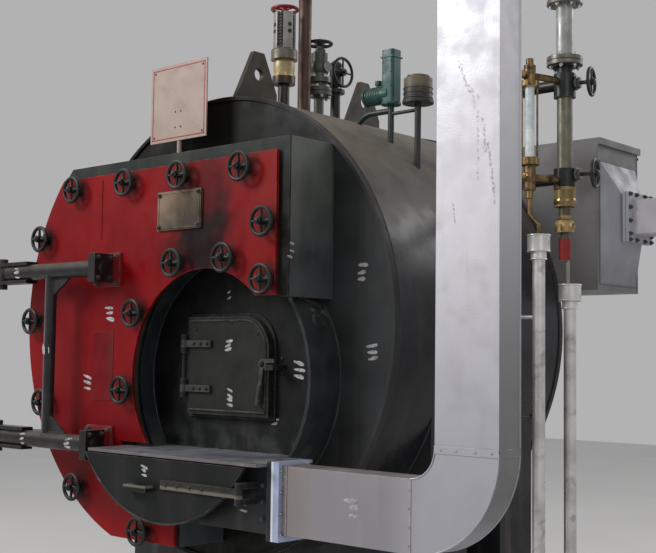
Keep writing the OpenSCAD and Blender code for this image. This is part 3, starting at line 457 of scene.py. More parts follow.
def tube_plate_look():
    """Dark plate, grey-brown on the left and blue-black on the right, made lighter there by painted sunlight;
    rubbed on its rim.
    """
    skin = Surface("tube_plate_paint", 0.48, specular=0.12)
    skin.base(srgb(20, 20, 16), 0.2, 4.0)
    # Painted sunlight: a lighter tone over the right part of the plate
    right = skin.ramp(skin.wander(skin.x, 3.0, 5.0, 0.2), 0.2, 0.9)
    skin.paint(right, skin.patches(srgb(56, 58, 59), 0.2, 4.0))
    skin.stain(srgb(84, 80, 72), 3.5, 8.0, 0.60, 0.72, 0.20, warp=1.2)
    skin.wear(dust=0.4, edge=0.6, edge_tone=srgb(104, 78, 62), runs=0.08)
    return skin.finish(90.0, soft_edge=0.002)


def smokebox_look():
    """Side panels, grey-green above and blue-black below."""
    skin = Surface("smokebox_paint", 0.40, specular=0.35)
    skin.base(srgb(66, 72, 74), 0.2, 5.0)
    upper = skin.ramp(skin.wander(skin.z, 5.0, 6.0, 0.12), 0.25, 0.60)
    skin.paint(upper, skin.patches(srgb(88, 92, 86), 0.14, 5.0))
    skin.wear(dust=0.55, edge=0.7, edge_tone=srgb(120, 122, 114))
    return skin.finish(90.0, soft_edge=0.002)


def frame_look():
    """Band round the door, grey-green and rubbed along the top, nearly black at the side."""
    skin = Surface("frame_paint", 0.45, specular=0.15)
    skin.base(srgb(25, 24, 22), 0.2, 6.0)
    top = skin.ramp(skin.z, 0.60, 0.66)
    skin.paint(top, skin.patches(srgb(46, 50, 47), 0.2, 6.0))
    skin.wear(edge=0.7, edge_tone=srgb(104, 104, 96))
    return skin.finish(90.0, soft_edge=0.0015)


def door_look():
    """Red paint with painted shade below the middle and a painted reflection of light from the floor along
    the bottom, orange at the right edge, with soot over the furnace and painted shadow round each handwheel.
    """
    skin = Surface("door_red", 0.42, specular=0.12)
    skin.base(srgb(127, 14, 20), 0.12, 3.5)
    foot = (-0.95, -0.75)
    # Painted shade: a darker band below the middle of the door
    low = skin.both(skin.ramp(skin.z, foot[1], -0.15, 0.6, 0.0), skin.ramp(skin.z, *foot))
    skin.paint(low, srgb(86, 6, 10))
    # Painted reflection of light from the floor: brighter red along the bottom
    skin.paint(skin.ramp(skin.z, *foot, 0.7, 0.0), srgb(146, 10, 14))
    right_edge = skin.ramp(skin.wander(skin.x, 6.0, 5.0, 0.07), 0.33, 0.58)
    skin.paint(right_edge, srgb(134, 24, 22), 0.85)
    skin.stain(srgb(98, 15, 18), 13.0, 6.0, 0.50, 0.72, 0.35, stretch=(1.0, 1.0, 0.09))
    skin.stain(srgb(122, 34, 28), 4.5, 7.0, 0.54, 0.72, 0.35, warp=0.7)
    for x, z, reach_x, reach_z, depth in SOOT_SPOTS:
        skin.paint(skin.spot(x, z, reach_x, reach_z), srgb(26, 16, 16), depth)
    # Painted shadow: the door darkens round each clamp handwheel
    wheel_shadow = 0.0
    for x, z in clamp_places():
        wheel_shadow = skin.math("MAXIMUM", wheel_shadow, skin.spot(x, z, WHEEL_SHADOW_R, WHEEL_SHADOW_R, 0.12))
    skin.paint(wheel_shadow, srgb(30, 20, 19), 0.8)
    skin.wear(dust=0.2, edge=0.75, edge_tone=srgb(186, 100, 86), rust=0.02, runs=0.0)
    return skin.finish(skin.grains(110.0, 3.0, 9.0, 3.0, 3.0), soft_edge=0.002)


def furnace_look(name, colour, soot=0.6):
    """Plate round the fire, sooty over the fire door, ash grey low down and pale at its front rim, partly
    rubbed and partly a painted highlight.
    """
    skin = Surface(name, 0.55, specular=0.2)
    skin.base(colour, 0.25, 7.0)
    over_door = skin.spot(190, 130, 420, 260)
    skin.paint(over_door, srgb(9, 10, 9), soot)
    ash = skin.both(skin.ramp(skin.z, -0.52, -0.34, 0.5, 0.0), skin.cloud(12.0, 8.0, 0.4, 0.65))
    skin.paint(ash, srgb(78, 78, 80))
    smear = skin.both(skin.spot(650, 80, 90, 120), skin.cloud(18.0, 7.0, 0.5, 0.64, warp=0.8))
    skin.paint(smear, srgb(110, 114, 114), 0.8)
    # Pale line along the front rim: partly rubbed wear, partly a painted highlight
    far = skin.away(FURNACE_X, 0.0, FURNACE_Z, (1.0, 0.0, 1.0))
    rim = skin.both(skin.ramp(far, 0.500, 0.506), skin.cloud(6.0, 5.0, 0.3, 0.6))
    skin.paint(skin.both(rim, skin.ramp(skin.y, -0.235, -0.22, 0.75, 0.0)), srgb(112, 120, 130))
    skin.wear(edge=0.75, edge_tone=srgb(110, 112, 110), rust=0.06, runs=0.05)
    return skin.finish(70.0, depth=0.25, soft_edge=0.0015)


def shelf_look():
    """Bare shelf plate, scraped, its front lip a warmer grey, with ash at its right end."""
    skin = Surface("ash_shelf_steel", 0.50, metallic=0.35, specular=0.4)
    skin.base(srgb(122, 124, 132), 0.22, 6.0)
    skin.stain(srgb(166, 168, 176), 26.0, 6.0, 0.50, 0.70, 0.5, stretch=(1.0, 0.06, 1.0))
    skin.stain(srgb(88, 78, 70), 7.0, 9.0, 0.56, 0.72, 0.6, warp=1.0)
    lip = skin.ramp(skin.y, -0.474, -0.470, 0.7, 0.0)
    skin.paint(lip, srgb(112, 104, 102))
    ash = skin.both(skin.ramp(skin.x, 0.60, 0.72), skin.cloud(14.0, 8.0, 0.35, 0.55))
    skin.paint(ash, skin.patches(srgb(160, 156, 144), 0.2, 30.0), 0.85)
    return skin.finish(80.0, depth=0.25, soft_edge=0.002)


def ash_door_look():
    """Half-round door, dull green-grey, with a hinge strap that is rubbed pale along its foot."""
    skin = Surface("ash_door_paint", 0.50, specular=0.15)
    skin.base(srgb(29, 32, 31), 0.18, 5.0)
    low, foot, high = ((ASH_STRAP_Z + rise) * MM for rise in (-19, -4, 19))
    strap = skin.both(skin.between(skin.z, low, high), skin.ramp(skin.y, -0.483, -0.481, 1.0, 0.0))
    skin.paint(strap, skin.patches(srgb(52, 52, 48), 0.25, 16.0), 0.85)
    rubbed = skin.both(skin.between(skin.z, low, foot), skin.cloud(5.0, 6.0, 0.25, 0.5, 0.4, 1.0))
    skin.paint(skin.both(strap, rubbed), srgb(116, 112, 100), 0.85)
    skin.wear(dust=0.4, edge=0.6, edge_tone=srgb(118, 112, 100), rust=0.05, runs=0.03)
    return skin.finish(80.0, soft_edge=0.0015)


def duct_look():
    """Bare sheet with a faint spangle, handling marks and the scuffs on the upright, with painted shade low
    down and on the side that faces right, and a painted shadow on the flat run.
    """
    skin = Surface("duct_sheet", 0.46, metallic=0.30, specular=0.4)
    skin.base(srgb(214, 212, 218), 0.03, 2.2)
    skin.paint(skin.ramp(skin.spangle(38.0), 0.0, 1.0, 0.0, 0.08), srgb(176, 178, 188))
    # Painted shade: the sheet darkens towards the bottom
    painted_shade_low = skin.ramp(skin.z, -0.60, 0.35, 0.75, 0.0)
    skin.paint(painted_shade_low, srgb(160, 158, 168))
    # Painted shade: the side that faces right darkens, most of all low down
    dull = skin.both(skin.ramp(skin.facing(0), 0.5, 0.9), skin.ramp(skin.z, -0.4, 0.9, 0.8, 0.0))
    skin.paint(dull, srgb(112, 111, 108))
    # Painted shadow over the flat run below the bend
    shadow_on_flat_run = skin.both(skin.ramp(skin.x, 1.25, 1.45, 1.0, 0.0), skin.ramp(skin.z, -0.5, -0.4, 1.0, 0.0))
    skin.paint(shadow_on_flat_run, srgb(140, 136, 140), 0.8)
    by_flange = skin.ramp(skin.x, 0.84, 1.02, 0.5, 0.0)
    skin.paint(by_flange, srgb(138, 122, 112))
    skin.stain(srgb(168, 168, 170), 22.0, 5.0, 0.52, 0.72, 0.22, stretch=(1.0, 1.0, 0.05))
    for start, end, width in SCUFFS:
        skin.paint(skin.stroke(start, end, width), srgb(134, 118, 138), 0.7)
    skin.stain(srgb(152, 148, 144), 5.0, 8.0, 0.62, 0.78, 0.35, warp=1.0)
    skin.wear(dust=0.5, edge=0.4, edge_tone=srgb(226, 226, 232), runs=0.0)
    return skin.finish(skin.grains(160.0, 2.0, 4.0, 2.0, 7.0), depth=0.2, relief=0.002, soft_edge=0.002)


def banded(name, bands, rest, metallic=0.4, axis=None, **worn):
    """Fitting coloured by height, with bands as [low, high, colour] in millimetres.

    With axis as [x, y, radius], only what lies within that radius takes the bands.
    """
    skin = Surface(name, 0.4, metallic)
    skin.base(rest, 0.2, 14.0)
    inside = skin.within(*axis) if axis else 1.0
    for low, high, colour in bands:
        band = skin.both(skin.between(skin.z, low * MM, high * MM, 0.001), inside)
        skin.paint(band, skin.patches(colour, 0.18, 18.0))
    skin.wear(**worn)
    return skin.finish(110.0, soft_edge=0.0012)


def controller_look():
    """Teal upright and box, dark pipes below them and a drab brown motor."""
    skin = Surface("teal_box", 0.42, specular=0.35)
    skin.base(srgb(42, 86, 80), 0.2, 9.0)
    drab = skin.mix(skin.ramp(skin.z, 1.02, 1.05), srgb(52, 52, 50), srgb(124, 110, 88))
    drab = skin.mix(skin.cloud(16.0, 6.0, 0.4, 0.65, 0.0, 0.5), drab, srgb(88, 84, 76))
    motor = skin.ramp(skin.x, 0.640, 0.644)
    skin.paint(motor, drab)
    pipes = skin.ramp(skin.z, 0.970, 0.976, 0.9, 0.0)
    skin.paint(pipes, srgb(46, 50, 48))
    skin.wear(dust=0.4, edge=0.5, edge_tone=srgb(132, 142, 132), rust=0.05)
    return skin.finish(110.0, soft_edge=0.0015)


def sign_look():
    """Pale enamel, yellowed, with dirt at its edges."""
    skin = Surface("sign", 0.38, specular=0.3)
    skin.base(srgb(170, 151, 140), 0.06, 7.0)
    skin.stain(srgb(140, 120, 104), 12.0, 8.0, 0.52, 0.72, 0.4, warp=0.6)
    skin.wear(edge=0.6, edge_tone=srgb(110, 70, 60), runs=0.14)
    return skin.finish(60.0, depth=0.08)


def cover_look():
    """Pale cover plate, olive in the middle and darker towards its lower right corner as painted shade."""
    skin = Surface("cover_beige", 0.50, specular=0.2)
    skin.base(srgb(136, 116, 96), 0.10, 9.0)
    middle = skin.spot(75, 480, 130, 90)
    skin.paint(middle, srgb(104, 88, 54), 0.6)
    # Painted shade: darker towards the lower right corner of the plate
    corner = skin.math("SUBTRACT", skin.both(skin.math("SUBTRACT", skin.x, 0.063), 0.6),
                       skin.math("SUBTRACT", skin.z, 0.473))
    corner = skin.math("ADD", corner, skin.cloud(14.0, 5.0, 0.3, 0.7, -0.03, 0.03))
    skin.paint(skin.ramp(corner, -0.13, 0.09, 0.0, 0.9), srgb(50, 42, 36))
    skin.wear(dust=0.2, edge=0.6, edge_tone=srgb(176, 160, 132), rust=0.05, runs=0.2)
    return skin.finish(70.0, soft_edge=0.002)


def iron_look(name, colour, rough=0.45, edge=0.4, dust=0.35):
    """Cast or forged iron with a dark skin."""
    skin = Surface(name, rough, metallic=0.2, specular=0.4)
    skin.base(colour, 0.3, 20.0)
    skin.wear(dust, edge, srgb(96, 100, 98), rust=0.05, runs=0.0)
    return skin.finish(skin.grains(180.0, 4.0, 45.0, 3.0, 1.0), depth=0.3, soft_edge=0.0012)


def brace_look():
    """Dark tube with a painted highlight line down its front."""
    skin = Surface("brace_iron", 0.42, metallic=0.2, specular=0.4)
    skin.base(srgb(40, 40, 43), 0.3, 14.0)
    # Painted highlight: a pale line down the front of the tube
    left, right = (BRACE_X - 15) * MM, (BRACE_X - 1) * MM
    highlight_line = skin.both(skin.between(skin.x, left, right, 0.006), skin.cloud(5.0, 6.0, 0.3, 0.6, 0.4, 1.0))
    skin.paint(skin.both(highlight_line, skin.ramp(skin.facing(1), -0.8, -0.3, 1.0, 0.0)), srgb(112, 110, 116))
    skin.wear(edge=0.5, edge_tone=srgb(96, 100, 98), rust=0.05, runs=0.0)
    return skin.finish(skin.noise(120.0, 4.0), depth=0.3, soft_edge=0.0012)


def bare_metal(name, colour, rough=0.32, dust=0.2, metallic=0.85):
    """Bright metal, brushed along its length, with tarnish."""
    skin = Surface(name, rough, metallic)
    skin.base(colour, 0.16, 9.0)
    skin.stain(shade(colour, 0.35), 17.0, 8.0, 0.54, 0.72, 0.55, warp=0.6)
    skin.wear(dust, 0.3, shade(colour, 1.6), runs=0.1)
    return skin.finish(skin.noise(90.0, 3.0, stretch=(1.0, 1.0, 0.2)), depth=0.12, soft_edge=0.001)


def tube_end_look():
    """Sooted tube ends behind the smokebox door."""
    skin = Surface("tube_end_steel", 0.75, metallic=0.2, specular=0.3)
    skin.base(srgb(58, 50, 44), 0.4, 30.0)
    skin.stain(srgb(20, 19, 18), 12.0, 8.0, 0.45, 0.65, 0.7)
    return skin.finish(100.0, skin.worn(0.2), depth=0.4)


def flange_look():
    """Bright duct flange with a painted highlight along its left edge, against the dark flange of the ash
    pit.
    """
    skin = Surface("duct_flange_steel", 0.45, metallic=0.4)
    skin.base(srgb(170, 182, 208), 0.12, 9.0)
    # Painted highlight: a bright line along the flange's left edge
    highlight_edge = skin.between(skin.x, 0.762, 0.772, 0.001)
    skin.paint(highlight_edge, srgb(226, 230, 238))
    pit_side = skin.ramp(skin.x, 0.761, 0.763, 1.0, 0.0)
    skin.paint(pit_side, skin.patches(srgb(38, 41, 44), 0.2, 9.0))
    skin.wear(edge=0.3, edge_tone=srgb(190, 196, 206), runs=0.1)
    return skin.finish(90.0, soft_edge=0.001)


def hood_look():
    """Pale sheet hood with a dusty foot, and its paler flue."""
    skin = Surface("hood_paint", 0.5, specular=0.3)
    skin.base(srgb(164, 164, 174), 0.10, 4.0)
    flue = skin.ramp(skin.x, (FLUE_X - 2) * MM, (FLUE_X + 2) * MM)
    skin.paint(flue, skin.patches(srgb(196, 192, 198), 0.08, 5.0))
    foot = skin.ramp(skin.z, 0.22, 0.42, 0.45, 0.0)
    skin.paint(foot, srgb(110, 106, 108))
    skin.wear(dust=0.4, edge=0.4, edge_tone=srgb(190, 188, 190), runs=0.25)
    return skin.finish(60.0, soft_edge=0.0015)


def gauge_look():
    """Glass with a white enamel back between brass cocks."""
    skin = Surface("gauge", 0.22, specular=0.6)
    glass = skin.both(skin.between(skin.z, 0.676, 0.963, 0.0005), skin.within(*GAUGE, 20))
    skin.base(srgb(128, 104, 70), 0.3, 30.0)
    skin.paint(skin.cloud(25.0, 6.0, 0.5, 0.7), srgb(58, 46, 38))
    inside = skin.mix(skin.ramp(skin.z, 0.788, 0.790, 1.0, 0.0), srgb(208, 218, 218), srgb(228, 234, 232))
    skin.paint(glass, skin.mix(skin.cloud(40.0, 5.0, 0.4, 0.7, 0.0, 0.3), inside, srgb(130, 140, 134)))
    skin.feed(skin.shader.inputs["Metallic"], skin.ramp(glass, 0.0, 1.0, 0.75, 0.0))
    return skin.finish(80.0, skin.ramp(glass, 0.0, 1.0, 0.38, 0.10), depth=0.06, soft_edge=0.001)


def chalk_look():
    """Dull white chalk."""
    skin = Surface("chalk", 0.95, specular=0.1)
    skin.base(srgb(182, 178, 180), 0.2, 40.0)
    skin.stain(srgb(104, 100, 102), 110.0, 5.0, 0.45, 0.66, 0.7)
    return skin.finish(200.0, skin.rough, depth=0.1)


make_camera()
make_world()
make_floor()
area_lamp("key", (-3.5, -5.5, 5.5), (0, 0, 1.3), 3.0, 330)
area_lamp("fill", (6.5, -3.5, 4.0), (0, 0, 1.5), 2.5, 30)
area_lamp("rim", (3.0, 6.0, 5.0), (0, 1, 1.5), 3.0, 80)

SAFETY_BANDS = (
    (980, 1136, srgb(48, 40, 34)), (1136, 1172, srgb(62, 46, 36)), (1172, 1252, PALE_BRASS),
    (1252, 1310, srgb(112, 106, 94)), (1310, 1480, srgb(58, 60, 58)), (1480, 1530, srgb(132, 24, 32)))
STOP_BANDS = ((1363, 1420, srgb(140, 140, 136)),)
COLUMN_BANDS = (
    (150, 275, srgb(160, 158, 150)), (275, 361, srgb(140, 40, 36)), (361, 387, srgb(84, 78, 64)),
    (387, 435, srgb(166, 140, 92)), (435, 492, srgb(84, 78, 60)), (492, 571, srgb(134, 116, 72)),
    (648, 942, srgb(112, 110, 94)), (1075, 1110, srgb(120, 116, 106)), (1110, 1330, srgb(160, 162, 158)),
    (1330, 1346, srgb(112, 108, 98)))
looks = {
    "shell": shell_look("shell_paint", srgb(54, 56, 60)),
    "front_tube_plate": tube_plate_look(),
    "smokebox": smokebox_look(),
    "smokebox_frame": frame_look(),
    "smokebox_door": door_look(),
    "inspection_cover": cover_look(),
    "door_handwheels": iron_look("wheel_iron", srgb(26, 31, 29)),
    "hinge_arm_upper": iron_look("arm_iron", srgb(32, 28, 27), 0.38, 0.5, 0.5),
    "hinge_brace": brace_look(),
    "hinge_brackets": iron_look("bracket_iron", srgb(58, 50, 50), 0.5, 0.5, 0.5),
    "door_brackets": painted("pad_red", srgb(118, 34, 34), specular=0.15, edge=0.9,
                             edge_tone=srgb(186, 112, 108)),
    "furnace_tube": furnace_look("furnace_tube_paint", srgb(42, 48, 50), 0.4),
    "furnace_front_plate": furnace_look("furnace_plate_paint", srgb(19, 21, 20)),
    "fire_door_frame": furnace_look("fire_frame_paint", srgb(38, 39, 37)),
    "fire_door": furnace_look("fire_door_paint", srgb(38, 38, 36), 0.3),
    "fire_door_straps": iron_look("strap_iron", srgb(58, 60, 58), 0.5, 0.8, 0.4),
    "fire_latch": iron_look("latch_iron", srgb(66, 64, 60), 0.45, 0.8, 0.4),
    "grate": iron_look("grate_iron", srgb(50, 44, 40), 0.8, 0.3, 0.6),
    "tube_ends": tube_end_look(),
    "ash_shelf": shelf_look(),
    "ash_pit": painted("ash_box_paint", srgb(39, 41, 43), specular=0.25, dust=0.4, edge=0.6, rust=0.05),
    "ash_door": ash_door_look(),
    "duct_flange": flange_look(),
    "duct_riser": duct_look(),
    "lifting_lugs": painted("lug_paint", srgb(58, 50, 40), specular=0.2, dust=0.5, edge=0.5, rust=0.08),
    "sign_plate": sign_look(),
    "safety_valve": banded("safety_valve_metal", SAFETY_BANDS, VALVE_BLACK, dust=0.2, edge=0.4),
    "steam_outlet": bare_metal("steam_pipe_brown", srgb(80, 56, 42), 0.5, 0.3, 0.25),
    "stop_valve": banded("stop_valve_iron", STOP_BANDS, srgb(78, 80, 74), 0.25, edge=0.5),
    "feed_valve": iron_look("feed_valve_iron", srgb(50, 44, 42)),
    "stop_valve_wheel": iron_look("valve_wheel_iron", srgb(36, 38, 36)),
    "level_controller": controller_look(),
    "water_column": banded("column_metal", COLUMN_BANDS, VALVE_BLACK, 0.35, (*COLUMN, 78),
                           dust=0.25, edge=0.4),
    "gauge_glass": gauge_look(),
    "drain_standpipes": bare_metal("pipe_steel", srgb(218, 216, 212), 0.34, 0.25, 0.6),
    "rear_smokebox": painted("rear_box_paint", srgb(124, 122, 122), 0.5, 0.3, 0.14, 4.0, dust=0.2, edge=0.5,
                             edge_tone=srgb(150, 146, 146), runs=0.25),
    "outlet_cone": hood_look(),
    "rear_end_plate": shell_look("end_plate_paint", srgb(48, 49, 50)),
    "saddles": painted("saddle_paint", srgb(44, 45, 47), specular=0.25, dust=0.55, edge=0.5,
                       rust=0.07, runs=0.3),
}
SAME_LOOK = {
    "front_flange_ring": "front_tube_plate", "hinge_arm_lower": "hinge_arm_upper",
    "duct_transition": "duct_riser", "duct_elbow": "duct_riser", "feed_valve_wheel": "stop_valve_wheel",
}
for name, node in nodes.items():
    node.data.materials.clear()
    node.data.materials.append(looks[SAME_LOOK.get(name, name)])


# Mesh building

class Form:
    """Mesh that grows by simple forms, given in millimetres."""

    def __init__(self):
        self.mesh = bmesh.new()

    def loop(self, centre, across, up, radius, sides):
        turns = [2 * math.pi * i / sides for i in range(sides)]
        ways = [across * math.cos(t) + up * math.sin(t) for t in turns]
        return [self.mesh.verts.new(centre + way * radius * MM) for way in ways]

    def bridge(self, a, b):
        for i in range(len(a)):
            j = (i + 1) % len(a)
            self.mesh.faces.new((a[i], a[j], b[j], b[i]))

    def cap(self, loop, flip=False):
        self.mesh.faces.new(list(reversed(loop)) if flip else loop)

    def skin(self, loops):
        """Closed skin over a row of loops."""
        for a, b in zip(loops, loops[1:]):
            self.bridge(a, b)
        self.cap(loops[0], True)
        self.cap(loops[-1])

    def turned(self, foot, axis, profile, sides=20):
        """Closed body turned about an axis through foot, from [height, radius] pairs."""
        axis = Vector(axis).normalized()
        across = axis.orthogonal().normalized()
        up = axis.cross(across)
        self.skin([self.loop(at(*foot) + axis * h * MM, across, up, r, sides) for h, r in profile])

    def disc(self, foot, axis, radius, thick, sides):
        self.turned(foot, axis, [(0, radius), (thick, radius)], sides)

    def nut(self, foot, axis, size):
        """Washer, hexagon nut and stud end; size is the stud's radius."""
        s = size
        self.turned(foot, axis, [(0, 2.1 * s), (0.35 * s, 2.1 * s)], 18)
        self.turned(foot, axis, [(0.35 * s, 1.8 * s), (1.7 * s, 1.8 * s), (2.0 * s, 1.5 * s)], 6)
        self.turned(foot, axis, [(1.9 * s, s), (2.7 * s, s), (3.0 * s, 0.75 * s)], 10)

    def dome(self, foot, axis, radius):
        profile = ((0, 1), (0.3, 0.94), (0.55, 0.72), (0.68, 0.4), (0.72, 0.06))
        self.turned(foot, axis, [(h * radius, r * radius) for h, r in profile], 14)

    def thread(self, foot, axis, length, radius, pitch=4.0):
        profile = []
        for i in range(int(length / pitch)):
            profile += [(i * pitch, radius * 0.82), ((i + 0.5) * pitch, radius)]
        self.turned(foot, axis, profile, 12)

    def nut_circle(self, centre, axis, radius, count, size, phase=0.0):
        for place in around(centre, axis, radius, count, phase):
            self.nut(place, axis, size)

    def tube(self, points, radius, flat, sides=6, closed=False, ripple=0.0):
        """Bar along points in a plane whose normal is flat; with ripple it swells and thins."""
        spots = [at(*p) for p in points]
        loops = []
        for i, spot in enumerate(spots):
            before = spots[i - 1] if closed or i else spot
            after = spots[(i + 1) % len(spots)] if closed or i + 1 < len(spots) else spot
            side = (after - before).normalized().cross(flat).normalized()
            swell = 1 - ripple * (i % 2) + ripple * 0.4 * (random.random() - 0.5)
            loops.append(self.loop(spot, side, flat, radius * swell, sides))
        if closed:
            for a, b in zip(loops, loops[1:] + loops[:1]):
                self.bridge(a, b)
        else:
            self.skin(loops)

    def weld(self, points, radius, flat=Y, closed=False, ripple=0.2):
        """Bead of a weld along points."""
        self.tube(points, radius, flat, 6, closed, ripple)

    def box(self, low, size, chamfer=1.5):
        """Block with chamfered edges, from its low corner and its size."""
        centre = at(*(a + b / 2 for a, b in zip(low, size)))
        fit = Matrix.Translation(centre) @ Matrix.Diagonal((*(s * MM for s in size), 1.0))
        verts = bmesh.ops.create_cube(self.mesh, size=1.0, matrix=fit)["verts"]
        edges = {e for v in verts for e in v.link_edges}
        bmesh.ops.bevel(self.mesh, geom=list(edges), offset=chamfer * MM, segments=1, affect="EDGES")

    def band(self, axis, place, width, low, high, thick):
        """Strip of the given thickness round a rectangle that is seen along x or z."""
        for i in (0, 1):
            for edge in (low[i] - thick, high[i]):
                corner = [low[1 - i] - thick] * 2
                span = [high[1 - i] - low[1 - i] + 2 * thick] * 2
                corner[i], span[i] = edge, thick
                if axis == "x":
                    self.box((place, *corner), (width, *span), 0.8)
                else:
                    self.box((*corner, place), (*span, width), 0.8)

    def shield(self, axis, radii, heights, start, end):
        """Upright plate bent round an axis, between two radii, two heights and two turns in degrees."""
        (inner, outer), (low, high) = radii, heights
        corners = ((inner, low), (outer, low + 3), (outer, high - 3), (inner, high))
        count = max(3, int((end - start) / 6))
        sections = []
        for i in range(count + 1):
            turn = math.radians(start + (end - start) * i / count)
            c, s = math.cos(turn), math.sin(turn)
            places = [at(axis[0] + r * c, axis[1] + r * s, z) for r, z in corners]
            sections.append([self.mesh.verts.new(place) for place in places])
        self.skin(sections)

    def eye(self, foot, length, half, hole, thick):
        """Level bar with a round end about foot and a hole there for an upright pin."""
        sides = 64
        corner = math.atan2(half, length)
        turns = sorted([2 * math.pi * i / sides for i in range(sides)] + [corner, 2 * math.pi - corner])
        loops = []
        for height in (0, thick):
            outer, inner = [], []
            for turn in turns:
                c, s = math.cos(turn), math.sin(turn)
                reach = half if c <= 0 else min(length / c, half / max(abs(s), 1e-6))
                for ring, r in ((outer, reach), (inner, hole)):
                    ring.append(self.mesh.verts.new(at(foot[0] + r * c, foot[1] + r * s, foot[2] + height)))
            loops.append((outer, inner))
        (low_out, low_in), (high_out, high_in) = loops
        for a, b in ((low_in, low_out), (low_out, high_out), (high_out, high_in), (high_in, low_in)):
            self.bridge(a, b)

    def plate(self, outline, y, thick):
        """Flat plate seen from the front, from an outline of [x, z] corners."""
        self.skin([[self.mesh.verts.new(at(x, depth, z)) for x, z in outline] for depth in (y, y + thick)])

    def ribbon(self, points, widths, side):
        """Flat strip along row-frame points, with its own width at each."""
        pairs = [[self.mesh.verts.new(place + side * half) for half in (-width / 2, width / 2)]
                 for place, width in zip(points, widths)]
        for a, b in zip(pairs, pairs[1:]):
            self.mesh.faces.new((a[0], a[1], b[1], b[0]))

    def piece(self, name, body, slot, material):
        """Turns the form into a piece that rides on a body."""
        bmesh.ops.recalc_face_normals(self.mesh, faces=self.mesh.faces)
        data = bpy.data.meshes.new(name)
        self.mesh.to_mesh(data)
        self.mesh.free()
        data.shade_smooth()
        data.set_sharp_from_angle(angle=math.radians(38))
        data.materials.append(material)
        made = bpy.data.objects.new(name, data)
        bpy.context.scene.collection.objects.link(made)
        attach(made, body)
        return made


def around(centre, axis, radius, count, phase=0.0):
    """Places round an axis, evenly spaced."""
    across = axis.orthogonal().normalized()
    up = axis.cross(across)
    turns = [phase + 2 * math.pi * i / count for i in range(count)]
    return [tuple(Vector(centre) + (across * math.cos(t) + up * math.sin(t)) * radius) for t in turns]


def ring_round(centre, axis, radius, step=6.0):
    """Places along a circle about an axis."""
    return around(centre, axis, radius, max(12, int(2 * math.pi * radius / step)))


def arc(x, z, radius, y, start=0.0, end=360.0, step=6.0):
    """Places along a circle seen from the front, angles in degrees from the right."""
    count = max(2, int(math.radians(abs(end - start)) * radius / step))
    turns = [math.radians(start + (end - start) * i / count) for i in range(count + (end - start < 360))]
    return [(x + radius * math.cos(t), y, z + radius * math.sin(t)) for t in turns]


def line(start, end, step=6.0):
    count = max(2, int((Vector(end) - Vector(start)).length / step))
    return [tuple(Vector(start).lerp(Vector(end), i / count)) for i in range(count + 1)]


def rectangle(low, high):
    """Sides of a rectangle, each as its two corners."""
    (a, b), (c, d) = low, high
    return ((a, b), (c, b)), ((a, d), (c, d)), ((a, b), (a, d)), ((c, b), (c, d))


random.seed(7)
bolt_steel = iron_look("bolt_steel", srgb(70, 70, 68), 0.45, 0.6, 0.4)
bright_bolt = bare_metal("bright_bolt_steel", srgb(168, 168, 164), 0.35, 0.2)
weld_skin = painted("weld_skin", srgb(48, 50, 52), dust=0.35, edge=0.0)
red_weld = painted("red_weld", srgb(108, 18, 23), specular=0.12, dust=0.2, edge=0.5,
                   edge_tone=srgb(150, 52, 52))


# Clamps of the smokebox door

def make_clamps():
    """Screw threads, nuts, hub caps and spoke fillets of the clamp handwheels."""
    form = Form()
    for x, z in clamp_places():
        form.thread((x, WHEEL_Y + 6, z), Y, 30, 11.5)
        form.disc((x, DOOR_Y - 1, z), -Y, 27, 3, 24)
        form.turned((x, DOOR_Y - 4, z), -Y, [(0, 23), (11, 23), (13, 20)], 6)
        form.turned((x, WHEEL_Y - 11, z), -Y, [(0, 17), (9, 17), (12, 14)], 6)
        form.turned((x, WHEEL_Y - 22, z), -Y, [(0, 9), (5, 9), (7, 6)], 12)
        for spoke in (-X, Z, X, -Z):
            hub = Vector((x, WHEEL_Y, z)) + spoke * 13
            form.turned(hub, spoke, [(0, 9), (6, 6.5), (30, 5.4), (40, 8)], 10)
    form.piece("clamp_details", "door", "black_iron", looks["door_handwheels"])


# Welds, hinge arms and brace

def make_welds():
    """Beads where plates and tubes of the boiler meet."""
    form = Form()
    ripple = 0.22
    for y in (RING_END, SHELL_END - 3):
        form.weld(arc(0, 0, SHELL_R + 2, y), 5.5, Y, True, ripple)
    form.weld(arc(FURNACE_X, FURNACE_Z, FURNACE_R + 1, -2, -170, 78), 6.5, ripple=ripple)
    form.weld(arc(FURNACE_X, FURNACE_Z, FURNACE_BORE - 1, FURNACE_PLATE_Y, -36, 216), 5, ripple=ripple)
    right, top = SMOKEBOX_RIGHT + 1, SMOKEBOX_TOP + 1
    form.weld(line((right, -2, 101), (right, -2, SMOKEBOX_TOP - 1)), 5, ripple=ripple)
    form.weld(line((-680, -2, top), (SMOKEBOX_RIGHT, -2, top)), 5, ripple=ripple)
    for y in SADDLE_EDGES:
        for start, end in ((202, 248), (292, 338)):
            form.weld(arc(0, 0, SHELL_R + 2, y, start, end), 6, ripple=ripple)
    for near, far in LUG_SPANS:
        for x in (-14, 14):
            form.weld(line((x, near, SHELL_R + 1), (x, far, SHELL_R + 1)), 5, X, ripple=ripple)
    form.piece("boiler_welds", "boiler", "shell_paint", weld_skin)


